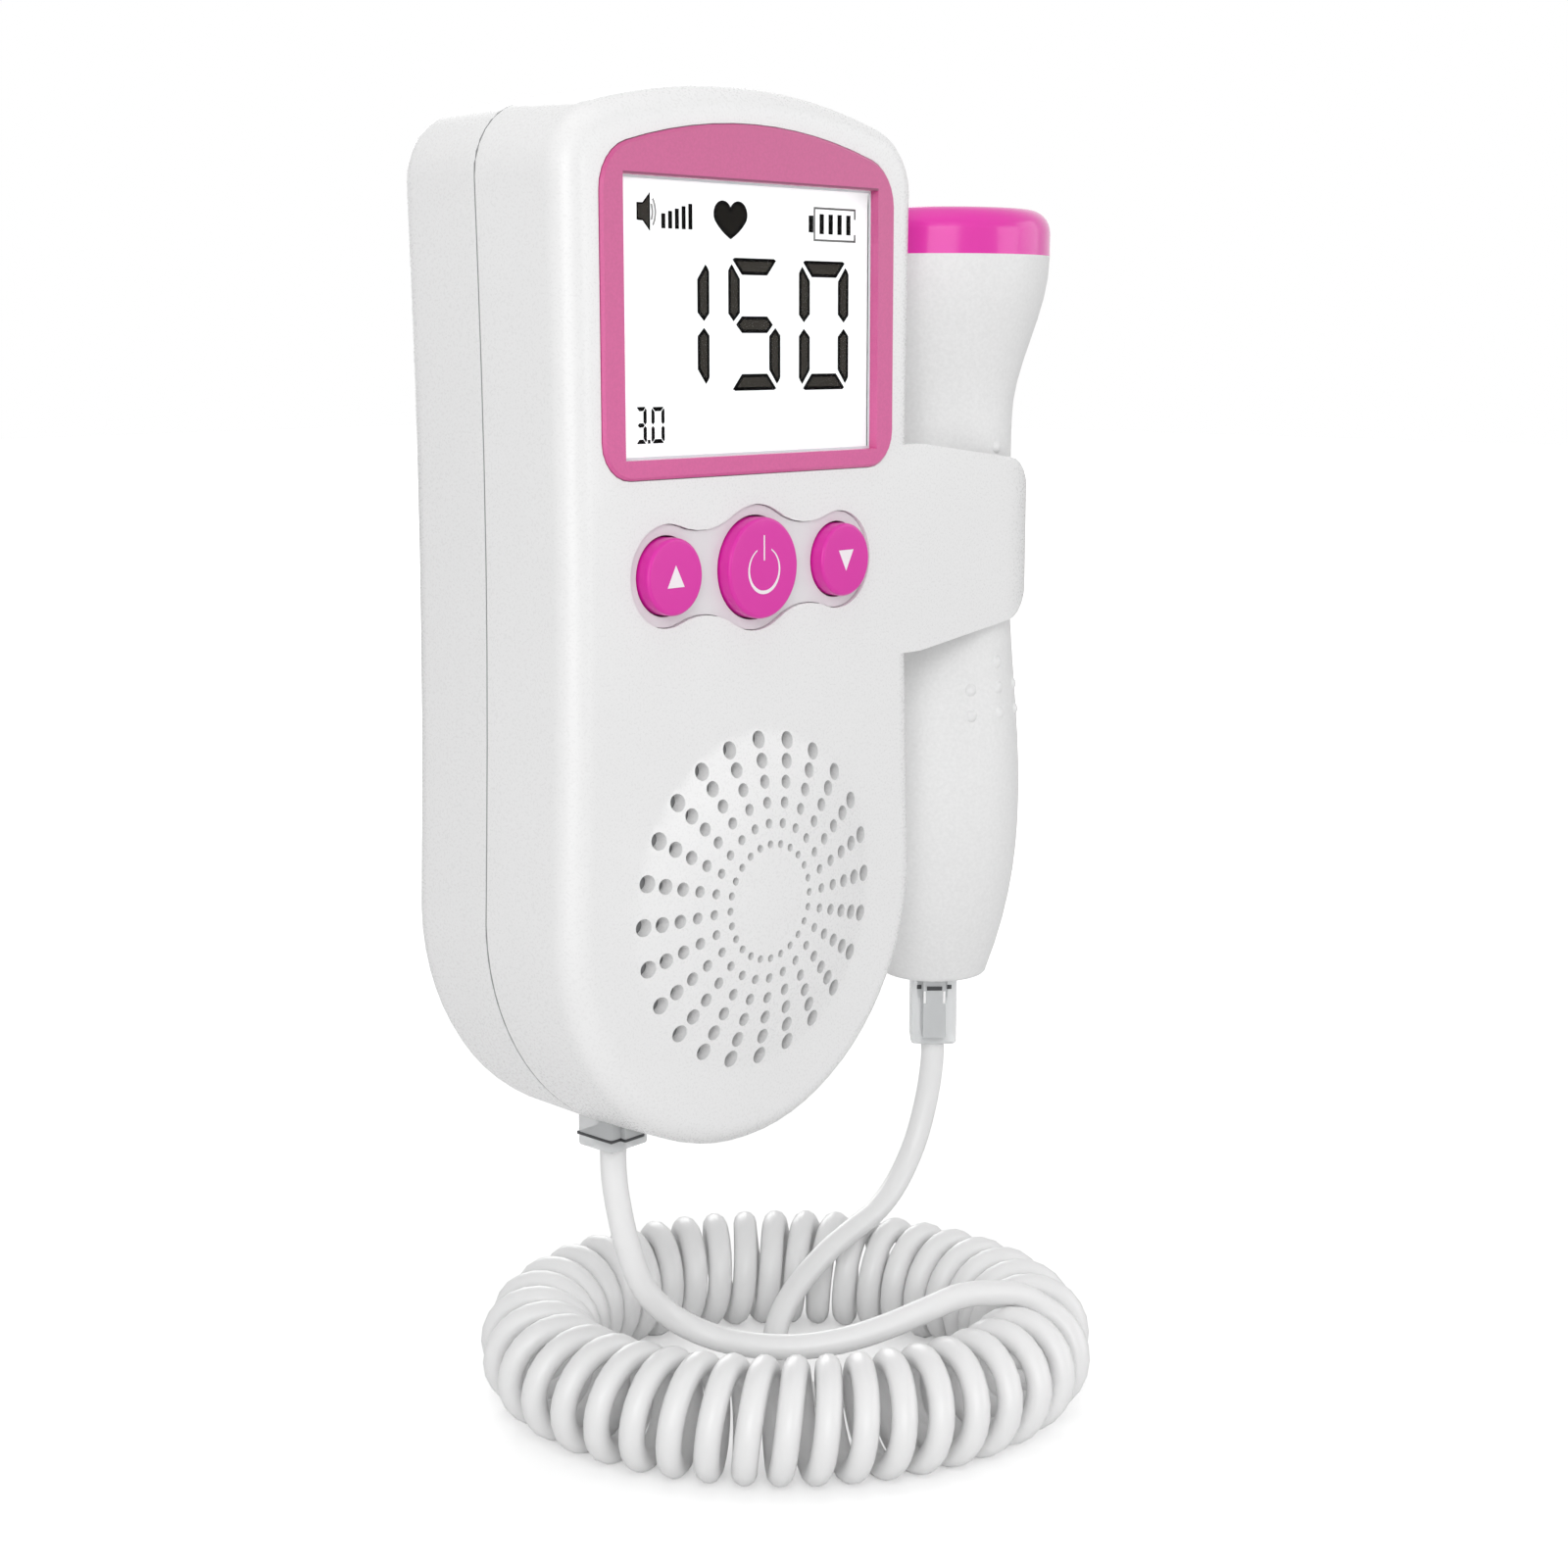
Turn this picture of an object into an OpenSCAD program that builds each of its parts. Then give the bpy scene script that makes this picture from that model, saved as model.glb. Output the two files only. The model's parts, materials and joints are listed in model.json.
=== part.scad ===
// Handheld fetal heart doppler: a display unit, a clip-on ultrasound probe and the curly cord
// that joins them. +Z is up, the display faces -Y and X = 0 is the display unit's centre plane.
// The origin lies on the unit's flat back, level with the middle of the display.

/* [Display unit] */
// Height of the display unit
unit_h = 135.5; // [131:0.5:142]
// From the top of the unit down to the middle of the display
display_drop = 28.5; // [28:0.5:32]
// Depth of the unit from face to back
unit_d = 30; // [29.5:0.5:36]
// Radius of the round bottom
bottom_r = 33.25; // [32.4:0.05:36]
// Half width of the unit at its shoulders
shoulder_half_w = 32.4; // [32:0.2:36]
// How far each side draws in at the waist
waist_in = 0.9; // [0:0.1:1.2]
// Radius of the arched top
arch_r = 100; // [90:2:130]
// Radius of the two shoulders
shoulder_r = 9; // [8:0.5:11]
// Rounding of the front and back edges
edge_round = 3.4; // [2.8:0.2:4]
// Draft of each side from the parting line to the face
side_draft = 0.35; // [0:0.05:0.5]
// Wall of the two shells
shell_wall = 2; // [1.8:0.1:2.2]
// Bevel of each shell's rim, which makes the seam
seam_bevel = 0.15; // [0.1:0.05:0.3]

/* [Display] */
// Width of the display window
window_w = 46.2; // [42:0.1:46.2]
// Height of the display window
window_h = 33.2; // [30:0.2:34]
// Width of the bezel
bezel_w = 53.2; // [52.4:0.2:55]
// From the middle of the display down to the bezel's lower edge
bezel_below = 18.95; // [18.6:0.05:19.6]
// From the middle of the display up to the top of the bezel's arch
bezel_above = 23.4; // [22.5:0.1:24]
// Radius of the bezel's arched top
bezel_arch_r = 82; // [75:1:100]
// Radius of the bezel's lower corners
bezel_corner_r = 4.6; // [3.6:0.1:5]
bezel_top_r = 6; // [4.6:0.1:6.4]
// How far the bezel stands proud of the face
bezel_proud = 0.4; // [0.2:0.05:0.6]
// Depth of the seat that holds the bezel
bezel_seat = 0.9; // [0.7:0.05:0.95]
// Thickness of the clear window
window_t = 1; // [0.8:0.05:1]
// Thickness of the liquid crystal glass
glass_t = 2.6; // [2:0.1:2.8]
// Thickness of the backlight
backlight_t = 2.4; // [2:0.1:2.8]

/* [Buttons] */
// From the middle of the display down to the row of buttons
button_drop = 30.75; // [30.4:0.05:31.4]
// Spacing of the three buttons
button_pitch = 15.85; // [15.4:0.05:16.4]
// Radius of the power button
power_r = 6.4; // [6:0.1:6.8]
// Radius of the two arrow buttons
arrow_r = 4.75; // [4.4:0.05:5.2]
// How far the buttons stand proud of the face
button_proud = 1.4; // [1.2:0.05:1.8]
// How far a button travels when it is pressed
button_travel = 0.6; // [0.4:0.05:0.8]
// Gap round each button
button_gap = 0.25; // [0.2:0.05:0.3]
// Radius of the keypad's middle lobe
mid_lobe_r = 7.9; // [7.8:0.1:8.6]
// Radius of the keypad's side lobes
side_lobe_r = 6.3; // [6.2:0.1:7]
// Radius of the hollows between the lobes
lobe_hollow_r = 11; // [9:0.5:14]
// Depth of the keypad below the face
keypad_recess = 0.5; // [0.3:0.05:0.7]

/* [Speaker] */
// Radius of the domed grille
grille_r = 22.6; // [22.2:0.1:23]
// Rise of the domed grille above the face
grille_rise = 2.7; // [2.2:0.1:3]
// Wall of the domed grille
grille_wall = 1.8; // [1.4:0.1:2]
// Rings of holes in the grille
grille_rings = 6; // [4:1:6]
// Holes in each ring
grille_spokes = 24; // [16:2:24]
// Radius of the innermost ring of holes
ring_first_r = 7.54; // [7.3:0.02:8]
// Spacing of the rings
ring_step = 2.69; // [2.5:0.01:2.72]
// Hole diameter in the innermost ring
hole_first_d = 1.05; // [0.9:0.05:1.2]
// Hole diameter in the outermost ring
hole_last_d = 2.26; // [2:0.02:2.3]
// Radius of the loudspeaker
speaker_r = 24; // [23.6:0.1:24.2]
// Depth of the loudspeaker
speaker_d = 8.6; // [7.6:0.1:8.8]

/* [Batteries] */
// Diameter of a battery cell
cell_d = 14.5; // [14:0.1:14.6]
// Length of a battery cell with its button
cell_l = 50.5; // [49:0.5:50.5]
// Length of a battery spring
spring_l = 4; // [3.5:0.25:4.5]
// Thickness of a battery contact plate
plate_t = 0.5; // [0.4:0.05:0.5]
// From the middle of the display down to the bottom of the space for the cells
bay_drop = 85; // [84.5:0.25:85.5]
// Wall round the cells
bay_wall = 1.2; // [1:0.1:1.2]
// Gap between the battery door and its opening
door_gap = 0.25; // [0.2:0.05:0.3]

/* [Main board] */
// Depth of the main board behind the face
board_depth = 9.4; // [9.2:0.1:9.8]
// Thickness of the main board
board_t = 1.6; // [1:0.1:1.6]
// Width of the main board
board_w = 56; // [54:0.5:57]

/* [Clip] */
// Wall of the clip
clip_wall = 1.6; // [1.3:0.1:1.8]
// Gap between the clip and the probe
clip_gap = 0.3; // [0.25:0.05:0.4]
// Height of the clip where it leaves the unit
clip_root_h = 28.2; // [26:0.2:30]
// Height of the clip in front of the probe
clip_neck_h = 23.3; // [21:0.1:25]
// Height of the clip's rounded end
clip_tip_h = 10; // [8:0.5:12]
// From the middle of the display down to the middle of the clip
clip_drop = 30.4; // [30:0.1:31]

/* [Probe] */
// Distance of the probe's axis from the unit's centre plane
probe_x = 52.9; // [51:0.1:56]
// Lowest end of the probe, below the middle of the display
probe_drop = 95.9; // [94:0.1:98]
// Length of the probe
probe_l = 111.5; // [109:0.1:114]
// Height of the pink cap
cap_h = 6.4; // [5.6:0.1:7]
// Rounding of the cap
cap_round = 3.2; // [2.4:0.1:3.6]
// Radius of the probe's head
head_r = 15.42; // [15:0.02:16]
// Radius of the probe's neck, which the clip holds
neck_r = 10.42; // [10:0.02:10.6]
// Radius of the probe's belly
belly_r = 12.37; // [11.8:0.01:12.6]
// Radius of the probe's lower end
end_r = 8; // [7.8:0.1:8.4]
// Height of the belly above the lower end
belly_h = 27.2; // [26:0.1:29]
// Height above the lower end at which the neck begins
neck_from = 61.9; // [59:0.1:63]
// Height above the lower end at which the neck flares into the head
neck_to = 81.9; // [81:0.1:85]
// Wall of the probe's handle
probe_wall = 1.8; // [1.6:0.1:2]
// Diameter of the small grip bumps
bump_d = 2.2; // [1.8:0.1:2.6]
// Spacing of the grip bumps
bump_pitch = 3.7; // [3.4:0.1:4]
// How far the probe slides out of the clip
probe_travel = 30; // [26:1:40]

/* [Cord] */
// Width of a plug
plug_w = 6.8; // [6.4:0.1:7]
// Depth of a plug
plug_d = 6.4; // [6:0.1:6.6]
// Length of a plug
plug_l = 16; // [15:0.5:17]
// How far the probe's plug stands out
plug_out = 10.8; // [9.5:0.1:11.5]
// Distance of the probe socket and the earphone socket from the centre plane
socket_x = 12; // [11:0.5:12.5]
// Diameter of the cord
cord_d = 3.5; // [3:0.1:3.5]
// Number of curls
curl_count = 39.5; // [33.5:1:39.5]
// Radius of a curl, at the middle of the cord
curl_r = 6.7; // [6.2:0.05:6.75]
// Half length of the oval ring that the curly cord lies in, at the middle of the curls
ring_r = 34.7; // [34.6:0.1:37]
// Half width of that ring
ring_half_w = 26.6; // [26.6:0.1:28]

/* [Hidden] */

eps = 0.01;
fit = 0.1;

// Planes of the display unit, front to back
face_y = -unit_d;
split_y = -unit_d / 2;
inner_face_y = face_y + shell_wall;
inner_back_y = -shell_wall;
unit_top = display_drop;
unit_bottom = display_drop - unit_h;
bottom_z = unit_bottom + bottom_r;
grille_z = bottom_z;

// Outline of the unit: the shoulders touch the sides and the arched top
arch_z = unit_top - arch_r;
shoulder_x = shoulder_half_w - shoulder_r;
shoulder_z = arch_z + sqrt(pow(arch_r - shoulder_r, 2) - pow(shoulder_x, 2));
shoulder_a = atan2(shoulder_z - arch_z, shoulder_x);

function arc(c, r, a0, a1, n) =
    [for (i = [0:n]) let (a = a0 + (a1 - a0) * i / n) [c[0] + r * cos(a), c[1] + r * sin(a)]];
function mirrored(points) = [for (i = [len(points) - 1:-1:0]) [-points[i][0], points[i][1]]];
function ease(u) = (1 - cos(180 * u)) / 2;
function between(a, b, u) = a + (b - a) * u;

// Faces between rings of points: m rings of n points each
function wall_faces(m, n) = concat(
    [for (i = [0:m - 2], j = [0:n - 1]) let (k = (j + 1) % n)
        [i * n + j, (i + 1) * n + k, i * n + k]],
    [for (i = [0:m - 2], j = [0:n - 1]) let (k = (j + 1) % n)
        [i * n + j, (i + 1) * n + j, (i + 1) * n + k]]);

function side_x(u) = between(bottom_r, shoulder_half_w, u) - waist_in * sin(180 * u);
function right_side(inset) = concat(
    arc([0, bottom_z], bottom_r - inset, -90, 0, 18),
    [for (i = [1:7]) [side_x(i / 8) - inset, between(bottom_z, shoulder_z, i / 8)]],
    arc([shoulder_x, shoulder_z], shoulder_r - inset, 0, shoulder_a, 6),
    [for (i = [1:6]) let (a = between(shoulder_a, 90, i / 6))
        [(arch_r - inset) * cos(a), arch_z + (arch_r - inset) * sin(a)]]);
function unit_outline(inset) = concat(right_side(inset),
    [for (p = mirrored(right_side(inset))) if (p[0] < -eps) p]);

// Extrudes an outline drawn in X and Z between two planes
module slab(y0, y1) {
    translate([0, max(y0, y1), 0]) rotate([90, 0, 0])
        linear_extrude(abs(y1 - y0)) children();
}

// Turns a cylinder's axis from +Z to -Y, with its base at y
module along_face(x, y, z) { translate([x, y, z]) rotate([90, 0, 0]) children(); }

// A half shell's solid form: open at one plane, where a small bevel makes the seam, then
// drafted, and rounded at the other plane. Each slice is a depth and an inset.
module rounded_form(y_open, y_closed, r, inset, bevel) {
    way = y_open > y_closed ? 1 : -1;
    slices = concat([[y_open, inset + bevel]],
        bevel > 0 ? [[y_open - way * bevel, inset]] : [],
        [for (a = [0:18:90]) [y_closed + way * r * (1 - sin(a)),
            inset + side_draft + r * (1 - cos(a))]]);
    n = len(slices);
    // Rings run towards -Y, so that the faces point outwards
    rings = [for (i = [0:n - 1]) slices[way > 0 ? i : n - 1 - i]];
    corners = len(unit_outline(0));
    polyhedron(points = [for (s = rings, p = unit_outline(s[1])) [p[0], s[0], p[1]]],
        faces = concat(wall_faces(n, corners), [[for (j = [0:corners - 1]) j]],
            [[for (j = [corners - 1:-1:0]) (n - 1) * corners + j]]));
}

// ---------------------------------------------------------------- shells

boss_r = 2.5;
screw_r = 1.2;
screw_head_r = 2.3;
screw_head_h = 1.8;
screw_l = 12;
screw_floor = 6;
boss_meet_y = split_y + 2;
boss_at = [[18, unit_top - 6.5], [-18, unit_top - 6.5], [23, bottom_z - 15.3], [-23, bottom_z - 15.3]];
lip_w = 0.9;
lip_h = 1.2;

// Main board and the posts that carry it
board_front_y = face_y + board_depth;
board_back_y = board_front_y + board_t;
board_top = display_drop - 9.5;
board_bottom = -button_drop - 9.25;
post_r = 1.9;
post_hole_r = 1;
post_at = [for (x = [-1, 1], z = [board_top - 2, -21.5]) [x * (board_w / 2 - 2), z]];

// Clip: its inside clears the probe where the probe is widest behind it
clip_z = -clip_drop;
clip_bottom_z = clip_z - clip_root_h / 2;
probe_base_z = -probe_drop;
clip_inner_r = probe_r(clip_bottom_z + 0.6 - probe_base_z) + clip_gap;
clip_outer_r = clip_inner_r + clip_wall;
probe_y = face_y + clip_outer_r;
clip_leg = 3.5;
cradle_t = 2;

// Loudspeaker seat behind the grille
speaker_ring_t = 0.85;
dome_r = (pow(grille_r, 2) + pow(grille_rise, 2)) / (2 * grille_rise);
dome_y = face_y - grille_rise + dome_r;
speaker_y = inner_face_y + fit;

// Sockets in the round bottom
socket_y = split_y;
socket_surface_z = bottom_z - sqrt(pow(bottom_r, 2) - pow(socket_x, 2));

// The upper corners of the bezel touch its sides and its arch
bezel_arch_z = bezel_above - bezel_arch_r;
bezel_top_x = bezel_w / 2 - bezel_top_r;
bezel_top_rise = sqrt(pow(bezel_arch_r - bezel_top_r, 2) - pow(bezel_top_x, 2));
bezel_top_a = atan2(bezel_top_rise, bezel_top_x);
function bezel_half(inset) = concat(
    arc([bezel_w / 2 - bezel_corner_r, -bezel_below + bezel_corner_r], bezel_corner_r - inset,
        -90, 0, 6),
    arc([bezel_top_x, bezel_arch_z + bezel_top_rise], bezel_top_r - inset, 0, bezel_top_a, 6),
    [for (i = [1:6]) let (a = between(bezel_top_a, 90, i / 6))
        [(bezel_arch_r - inset) * cos(a), bezel_arch_z + (bezel_arch_r - inset) * sin(a)]]);
function bezel_outline(inset) = concat(bezel_half(inset),
    [for (p = mirrored(bezel_half(inset))) if (p[0] < -eps) p]);

// Keypad: three round lobes joined by hollows that touch them
hollow_x = (pow(mid_lobe_r + lobe_hollow_r, 2) - pow(side_lobe_r + lobe_hollow_r, 2)
    + pow(button_pitch, 2)) / (2 * button_pitch);
hollow_z = sqrt(pow(mid_lobe_r + lobe_hollow_r, 2) - pow(hollow_x, 2));
mid_a = atan2(hollow_z, hollow_x);
side_a = atan2(hollow_z, hollow_x - button_pitch);
function keypad_quarter(inset) = concat(
    arc([button_pitch, 0], side_lobe_r - inset, 0, side_a, 12),
    arc([hollow_x, hollow_z], lobe_hollow_r + inset, side_a + 180 + 2, mid_a + 180 - 2, 6),
    arc([0, 0], mid_lobe_r - inset, mid_a, 90, 6));
function keypad_outline(inset) = let (q = keypad_quarter(inset)) concat(q,
    [for (p = mirrored(q)) if (p[0] < -eps) p],
    [for (i = [0:len(q) - 1]) if (q[i][1] > eps) [-q[i][0], -q[i][1]]],
    [for (i = [len(q) - 1:-1:0]) if (q[i][0] > eps && q[i][1] > eps) [q[i][0], -q[i][1]]]);

module at_keypad() { translate([0, 0, -button_drop]) children(); }

module window_shape(grow) { square([window_w + 2 * grow, window_h + 2 * grow], center = true); }

module front_skin() {
    difference() {
        rounded_form(split_y, face_y, edge_round, 0, seam_bevel);
        rounded_form(split_y + eps, inner_face_y, edge_round - shell_wall, shell_wall, 0);
    }
}

module dome_cap(r) {
    intersection() {
        translate([0, dome_y, grille_z]) sphere(r, $fn = 240);
        along_face(0, face_y + 1, grille_z) cylinder(h = grille_rise + 2, r = grille_r, $fn = 96);
    }
}

// Clip outline in X and Z: it narrows past the probe's axis and ends in a rounded tongue
function clip_half_h(x) = x < probe_x
    ? between(clip_root_h, clip_neck_h, max(0, (x - bottom_r) / (probe_x - bottom_r))) / 2
    : between(clip_neck_h, clip_tip_h, ease(min(1, (x - probe_x) / clip_outer_r))) / 2;
clip_xs = [24, bottom_r, 43, probe_x, for (i = [1:8]) probe_x + clip_outer_r * i / 8,
    probe_x + clip_outer_r + 1];
function clip_outline() = concat([for (x = clip_xs) [x, clip_z + clip_half_h(x)]],
    [for (i = [len(clip_xs) - 1:-1:0]) [clip_xs[i], clip_z - clip_half_h(clip_xs[i])]]);

module clip() {
    z0 = clip_z - clip_root_h / 2;
    intersection() {
        union() {
            translate([26, face_y, z0]) cube([probe_x - 26, clip_wall, clip_root_h]);
            intersection() {
                translate([probe_x, probe_y, z0]) difference() {
                    cylinder(h = clip_root_h, r = clip_outer_r, $fn = 96);
                    translate([0, 0, -1]) cylinder(h = clip_root_h + 2, r = clip_inner_r, $fn = 96);
                }
                translate([probe_x, face_y - 1, z0])
                    cube([clip_outer_r + 1, clip_outer_r + 1, clip_root_h]);
            }
            translate([probe_x + clip_inner_r, probe_y, z0])
                cube([clip_wall, clip_leg, clip_root_h]);
        }
        slab(face_y - 1, probe_y + clip_leg + 1) polygon(clip_outline());
        clip_end();
    }
}

// Rounds the free end of the clip, seen from the side
module clip_end() {
    r = clip_tip_h / 2;
    translate([0, 0, clip_z]) rotate([90, 0, 90]) linear_extrude(probe_x + clip_outer_r + 1)
        union() {
            translate([face_y - 1, -clip_root_h])
                square([probe_y + clip_leg - r - face_y + 1, 2 * clip_root_h]);
            translate([probe_y + clip_leg - r, 0]) circle(r, $fn = 48);
        }
}

// Two ribs that carry the probe's inner side
module cradle() {
    for (side = [-1, 1])
        difference() {
            translate([bottom_r - 2.4, face_y + clip_wall - eps,
                clip_z + side * (clip_neck_h / 2 - cradle_t - 1) - cradle_t / 2])
                cube([probe_x - bottom_r - 2, split_y - fit - face_y - clip_wall, cradle_t]);
            translate([probe_x, probe_y, clip_z - clip_root_h])
                cylinder(h = 2 * clip_root_h, r = clip_inner_r, $fn = 96);
            translate([probe_x - clip_inner_r, probe_y, clip_z - clip_root_h])
                cube([2 * clip_inner_r, unit_d, 2 * clip_root_h]);
        }
}

module grille_holes() {
    for (i = [0:grille_rings - 1], j = [0:grille_spokes - 1]) {
        a = 360 * j / grille_spokes;
        r = ring_first_r + ring_step * i;
        d = between(hole_first_d, hole_last_d, i / (grille_rings - 1));
        along_face(r * cos(a), face_y + shell_wall + 1, grille_z + r * sin(a))
            cylinder(h = shell_wall + grille_rise + 2, d = d, $fn = 16);
    }
}

// A plug and its latch in cross-section, with a gap all round
module plug_section(gap) {
    square([plug_w + 2 * gap, plug_d + 2 * gap], center = true);
    translate([-latch_w / 2 - gap, -plug_d / 2 - latch_t - gap])
        square([latch_w + 2 * gap, latch_t + 2 * gap]);
}

module socket_cuts() {
    translate([-socket_x, socket_y, socket_surface_z - 5])
        linear_extrude(11) plug_section(plug_gap);
    translate([socket_x, socket_y, socket_surface_z - 5])
        cylinder(h = 11, r = ear_nose_r + fit, $fn = 48);
}

module front_shell() color("whitesmoke") {
    difference() {
        union() {
            front_skin();
            dome_cap(dome_r);
            clip();
            cradle();
            for (p = boss_at)
                along_face(p[0], boss_meet_y - fit, p[1])
                    cylinder(h = boss_meet_y - fit - inner_face_y + eps, r = boss_r, $fn = 32);
            for (p = post_at)
                along_face(p[0], board_front_y, p[1])
                    cylinder(h = board_front_y - inner_face_y + eps, r = post_r, $fn = 32);
            along_face(0, inner_face_y + 3, grille_z) difference() {
                cylinder(h = 3 + eps, r = speaker_r + fit + speaker_ring_t, $fn = 96);
                translate([0, 0, -1]) cylinder(h = 5, r = speaker_r + fit, $fn = 96);
            }
        }
        slab(face_y - 1, face_y + bezel_seat) polygon(bezel_outline(-fit));
        slab(face_y - 1, inner_face_y + 1) window_shape(window_lip + fit);
        at_keypad() slab(face_y - 1, inner_face_y + 1) polygon(keypad_outline(-fit));
        intersection() {
            translate([0, dome_y, grille_z]) sphere(dome_r - grille_wall, $fn = 240);
            along_face(0, inner_face_y + 1, grille_z)
                cylinder(h = shell_wall + grille_rise + 2, r = grille_r - 0.3, $fn = 96);
        }
        grille_holes();
        for (p = boss_at)
            along_face(p[0], boss_meet_y + 1, p[1])
                cylinder(h = screw_l, r = screw_r + 0.05, $fn = 24);
        for (p = post_at)
            along_face(p[0], board_front_y + 1, p[1])
                cylinder(h = board_screw_l + 1, r = post_hole_r, $fn = 24);
        slab(split_y - lip_h - fit, split_y + 1)
            difference() {
                polygon(unit_outline(shell_wall - lip_w - fit));
                polygon(unit_outline(shell_wall + 1));
            }
        socket_cuts();
    }
}

// ---------------------------------------------------------------- back

bay_bottom = -bay_drop;
bay_top = bay_bottom + cell_l + spring_l + 2 * plate_t;
cell_r = cell_d / 2;
cell_x = cell_r + 0.25;
bay_r = cell_r + 0.35;
cell_y = inner_back_y - 0.3 - cell_r;
door_half_w = cell_x + bay_r + bay_wall;
door_top = bay_top + bay_wall;
door_bottom = bay_bottom - bay_wall;
door_corner_r = 4;
tab_w = 5;
tab_x = 8.5;
tab_reach = 1.6;

module door_shape(grow) {
    r = door_corner_r + grow;
    translate([0, (door_top + door_bottom) / 2])
        hull() for (x = [-1, 1], z = [-1, 1])
            translate([x * (door_half_w + grow - r), z * ((door_top - door_bottom) / 2 + grow - r)])
                circle(r, $fn = 32);
}

module bay_hollow(grow, z0, z1) {
    for (x = [-cell_x, cell_x])
        translate([x, cell_y, z0]) cylinder(h = z1 - z0, r = bay_r + grow, $fn = 64);
    translate([-cell_x - bay_r - grow, cell_y, z0])
        cube([2 * (cell_x + bay_r + grow), inner_back_y - cell_y + eps, z1 - z0]);
}

module tab_room() {
    for (side = [-1, 1])
        translate([side * tab_x - tab_w / 2 - door_gap, inner_back_y - 2.2, door_bottom - 2.4])
            cube([tab_w + 2 * door_gap, 2.2 + eps, 7]);
}

module rear_shell() color("whitesmoke") {
    difference() {
        union() {
            difference() {
                rounded_form(split_y, 0, edge_round, 0, seam_bevel);
                rounded_form(split_y - eps, inner_back_y, edge_round - shell_wall, shell_wall, 0);
            }
            slab(split_y - lip_h, split_y + lip_h)
                difference() {
                    polygon(unit_outline(shell_wall - lip_w));
                    polygon(unit_outline(shell_wall + eps));
                }
            bay_hollow(bay_wall, door_bottom, door_top);
            intersection() {
                rounded_form(split_y, 0, edge_round, 0, 0);
                for (p = boss_at)
                    along_face(p[0], 0, p[1])
                        cylinder(h = -boss_meet_y, r = screw_head_r + 1.4, $fn = 32);
            }
            for (x = [-socket_x, socket_x])
                along_face(x, inner_back_y + eps, socket_post_z)
                    cylinder(h = inner_back_y - socket_board_y - socket_board_t + eps,
                        r = post_r, $fn = 32);
        }
        slab(inner_back_y, 1) door_shape(door_gap);
        bay_hollow(0, bay_bottom, bay_top);
        tab_room();
        for (p = boss_at) {
            along_face(p[0], 1, p[1])
                cylinder(h = screw_floor + 1, r = screw_head_r + 0.3, $fn = 32);
            along_face(p[0], 1, p[1]) cylinder(h = unit_d, r = screw_r + 0.2, $fn = 24);
        }
        socket_cuts();
    }
}

module battery_door() color("gainsboro") {
    difference() {
        slab(inner_back_y, 0) door_shape(0);
        for (i = [0:3])
            translate([-7, -0.6, door_top - 6 - 2 * i]) cube([14, 1, 0.9]);
    }
    for (side = [-1, 1])
        translate([side * tab_x - tab_w / 2, 0, 0]) {
            translate([0, inner_back_y - 1.3, door_bottom - tab_reach])
                cube([tab_w, 1, tab_reach + 2]);
            translate([0, inner_back_y - 1.3, door_bottom + 0.6]) cube([tab_w, 1.3 + eps, 1.4]);
        }
}

nub_h = 1.3;
nub_r = 2.7;
spring_r = 4.6;

module cell() {
    cylinder(h = cell_l - nub_h, r = cell_r, $fn = 64);
    cylinder(h = cell_l, r = nub_r, $fn = 32);
}

// The cells lie opposite ways up, each with its button against a bare plate
module at_left_spring() { translate([-cell_x, cell_y, bay_bottom + plate_t]) children(); }
module at_right_spring() {
    translate([cell_x, cell_y, bay_top - plate_t]) mirror([0, 0, 1]) children();
}
module spring_cone() { cylinder(h = spring_l, r1 = spring_r, r2 = nub_r, $fn = 32); }

module battery_left() color("dimgray") at_left_spring() translate([0, 0, spring_l]) cell();
module battery_right() color("dimgray") at_right_spring() translate([0, 0, spring_l]) cell();
module battery_springs() color("silver") {
    at_left_spring() spring_cone();
    at_right_spring() spring_cone();
}

module contact_plate(x, z) {
    translate([x - spring_r - 1, cell_y - spring_r - 0.4, z])
        cube([2 * spring_r + 2, 2 * spring_r + 0.8, plate_t]);
}

module battery_plates() color("silver") {
    contact_plate(-cell_x, bay_bottom);
    contact_plate(-cell_x, bay_top - plate_t);
    contact_plate(cell_x, bay_bottom);
    contact_plate(cell_x, bay_top - plate_t);
}

module shell_screws() color("silver") {
    for (p = boss_at) {
        along_face(p[0], -screw_floor + screw_head_h, p[1])
            cylinder(h = screw_head_h, r = screw_head_r, $fn = 32);
        along_face(p[0], -screw_floor + eps, p[1]) cylinder(h = screw_l, r = screw_r, $fn = 24);
    }
}

// ---------------------------------------------------------------- display

window_lip = 0.8;
glass_y = inner_face_y + fit;
glass_back_y = glass_y + glass_t;
connector_t = 2;
connector_z = window_h / 2 + window_lip - connector_t / 2 - 0.4;

module display_bezel() color("palevioletred") {
    difference() {
        hull() {
            slab(face_y + bezel_seat, face_y - bezel_proud + 0.3) polygon(bezel_outline(0));
            slab(face_y, face_y - bezel_proud) polygon(bezel_outline(0.35));
        }
        slab(face_y - 2, face_y + 2) window_shape(0);
    }
}

module display_window() color([0.85, 0.9, 0.92, 0.4])
    slab(face_y + bezel_seat, face_y + bezel_seat + window_t) window_shape(window_lip);

module lcd_glass() color("ghostwhite")
    slab(glass_y, glass_back_y) square([window_w + 1.6, window_h + 3.2], center = true);

module backlight() color("white")
    slab(glass_back_y, glass_back_y + backlight_t)
        square([window_w + 0.8, 2 * connector_z - connector_t - 0.6], center = true);

module lcd_connectors() color("dimgray")
    for (side = [-1, 1])
        slab(glass_back_y, board_front_y)
            translate([0, side * connector_z]) square([window_w - 5, connector_t], center = true);

// ---------------------------------------------------------------- keypad

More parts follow.
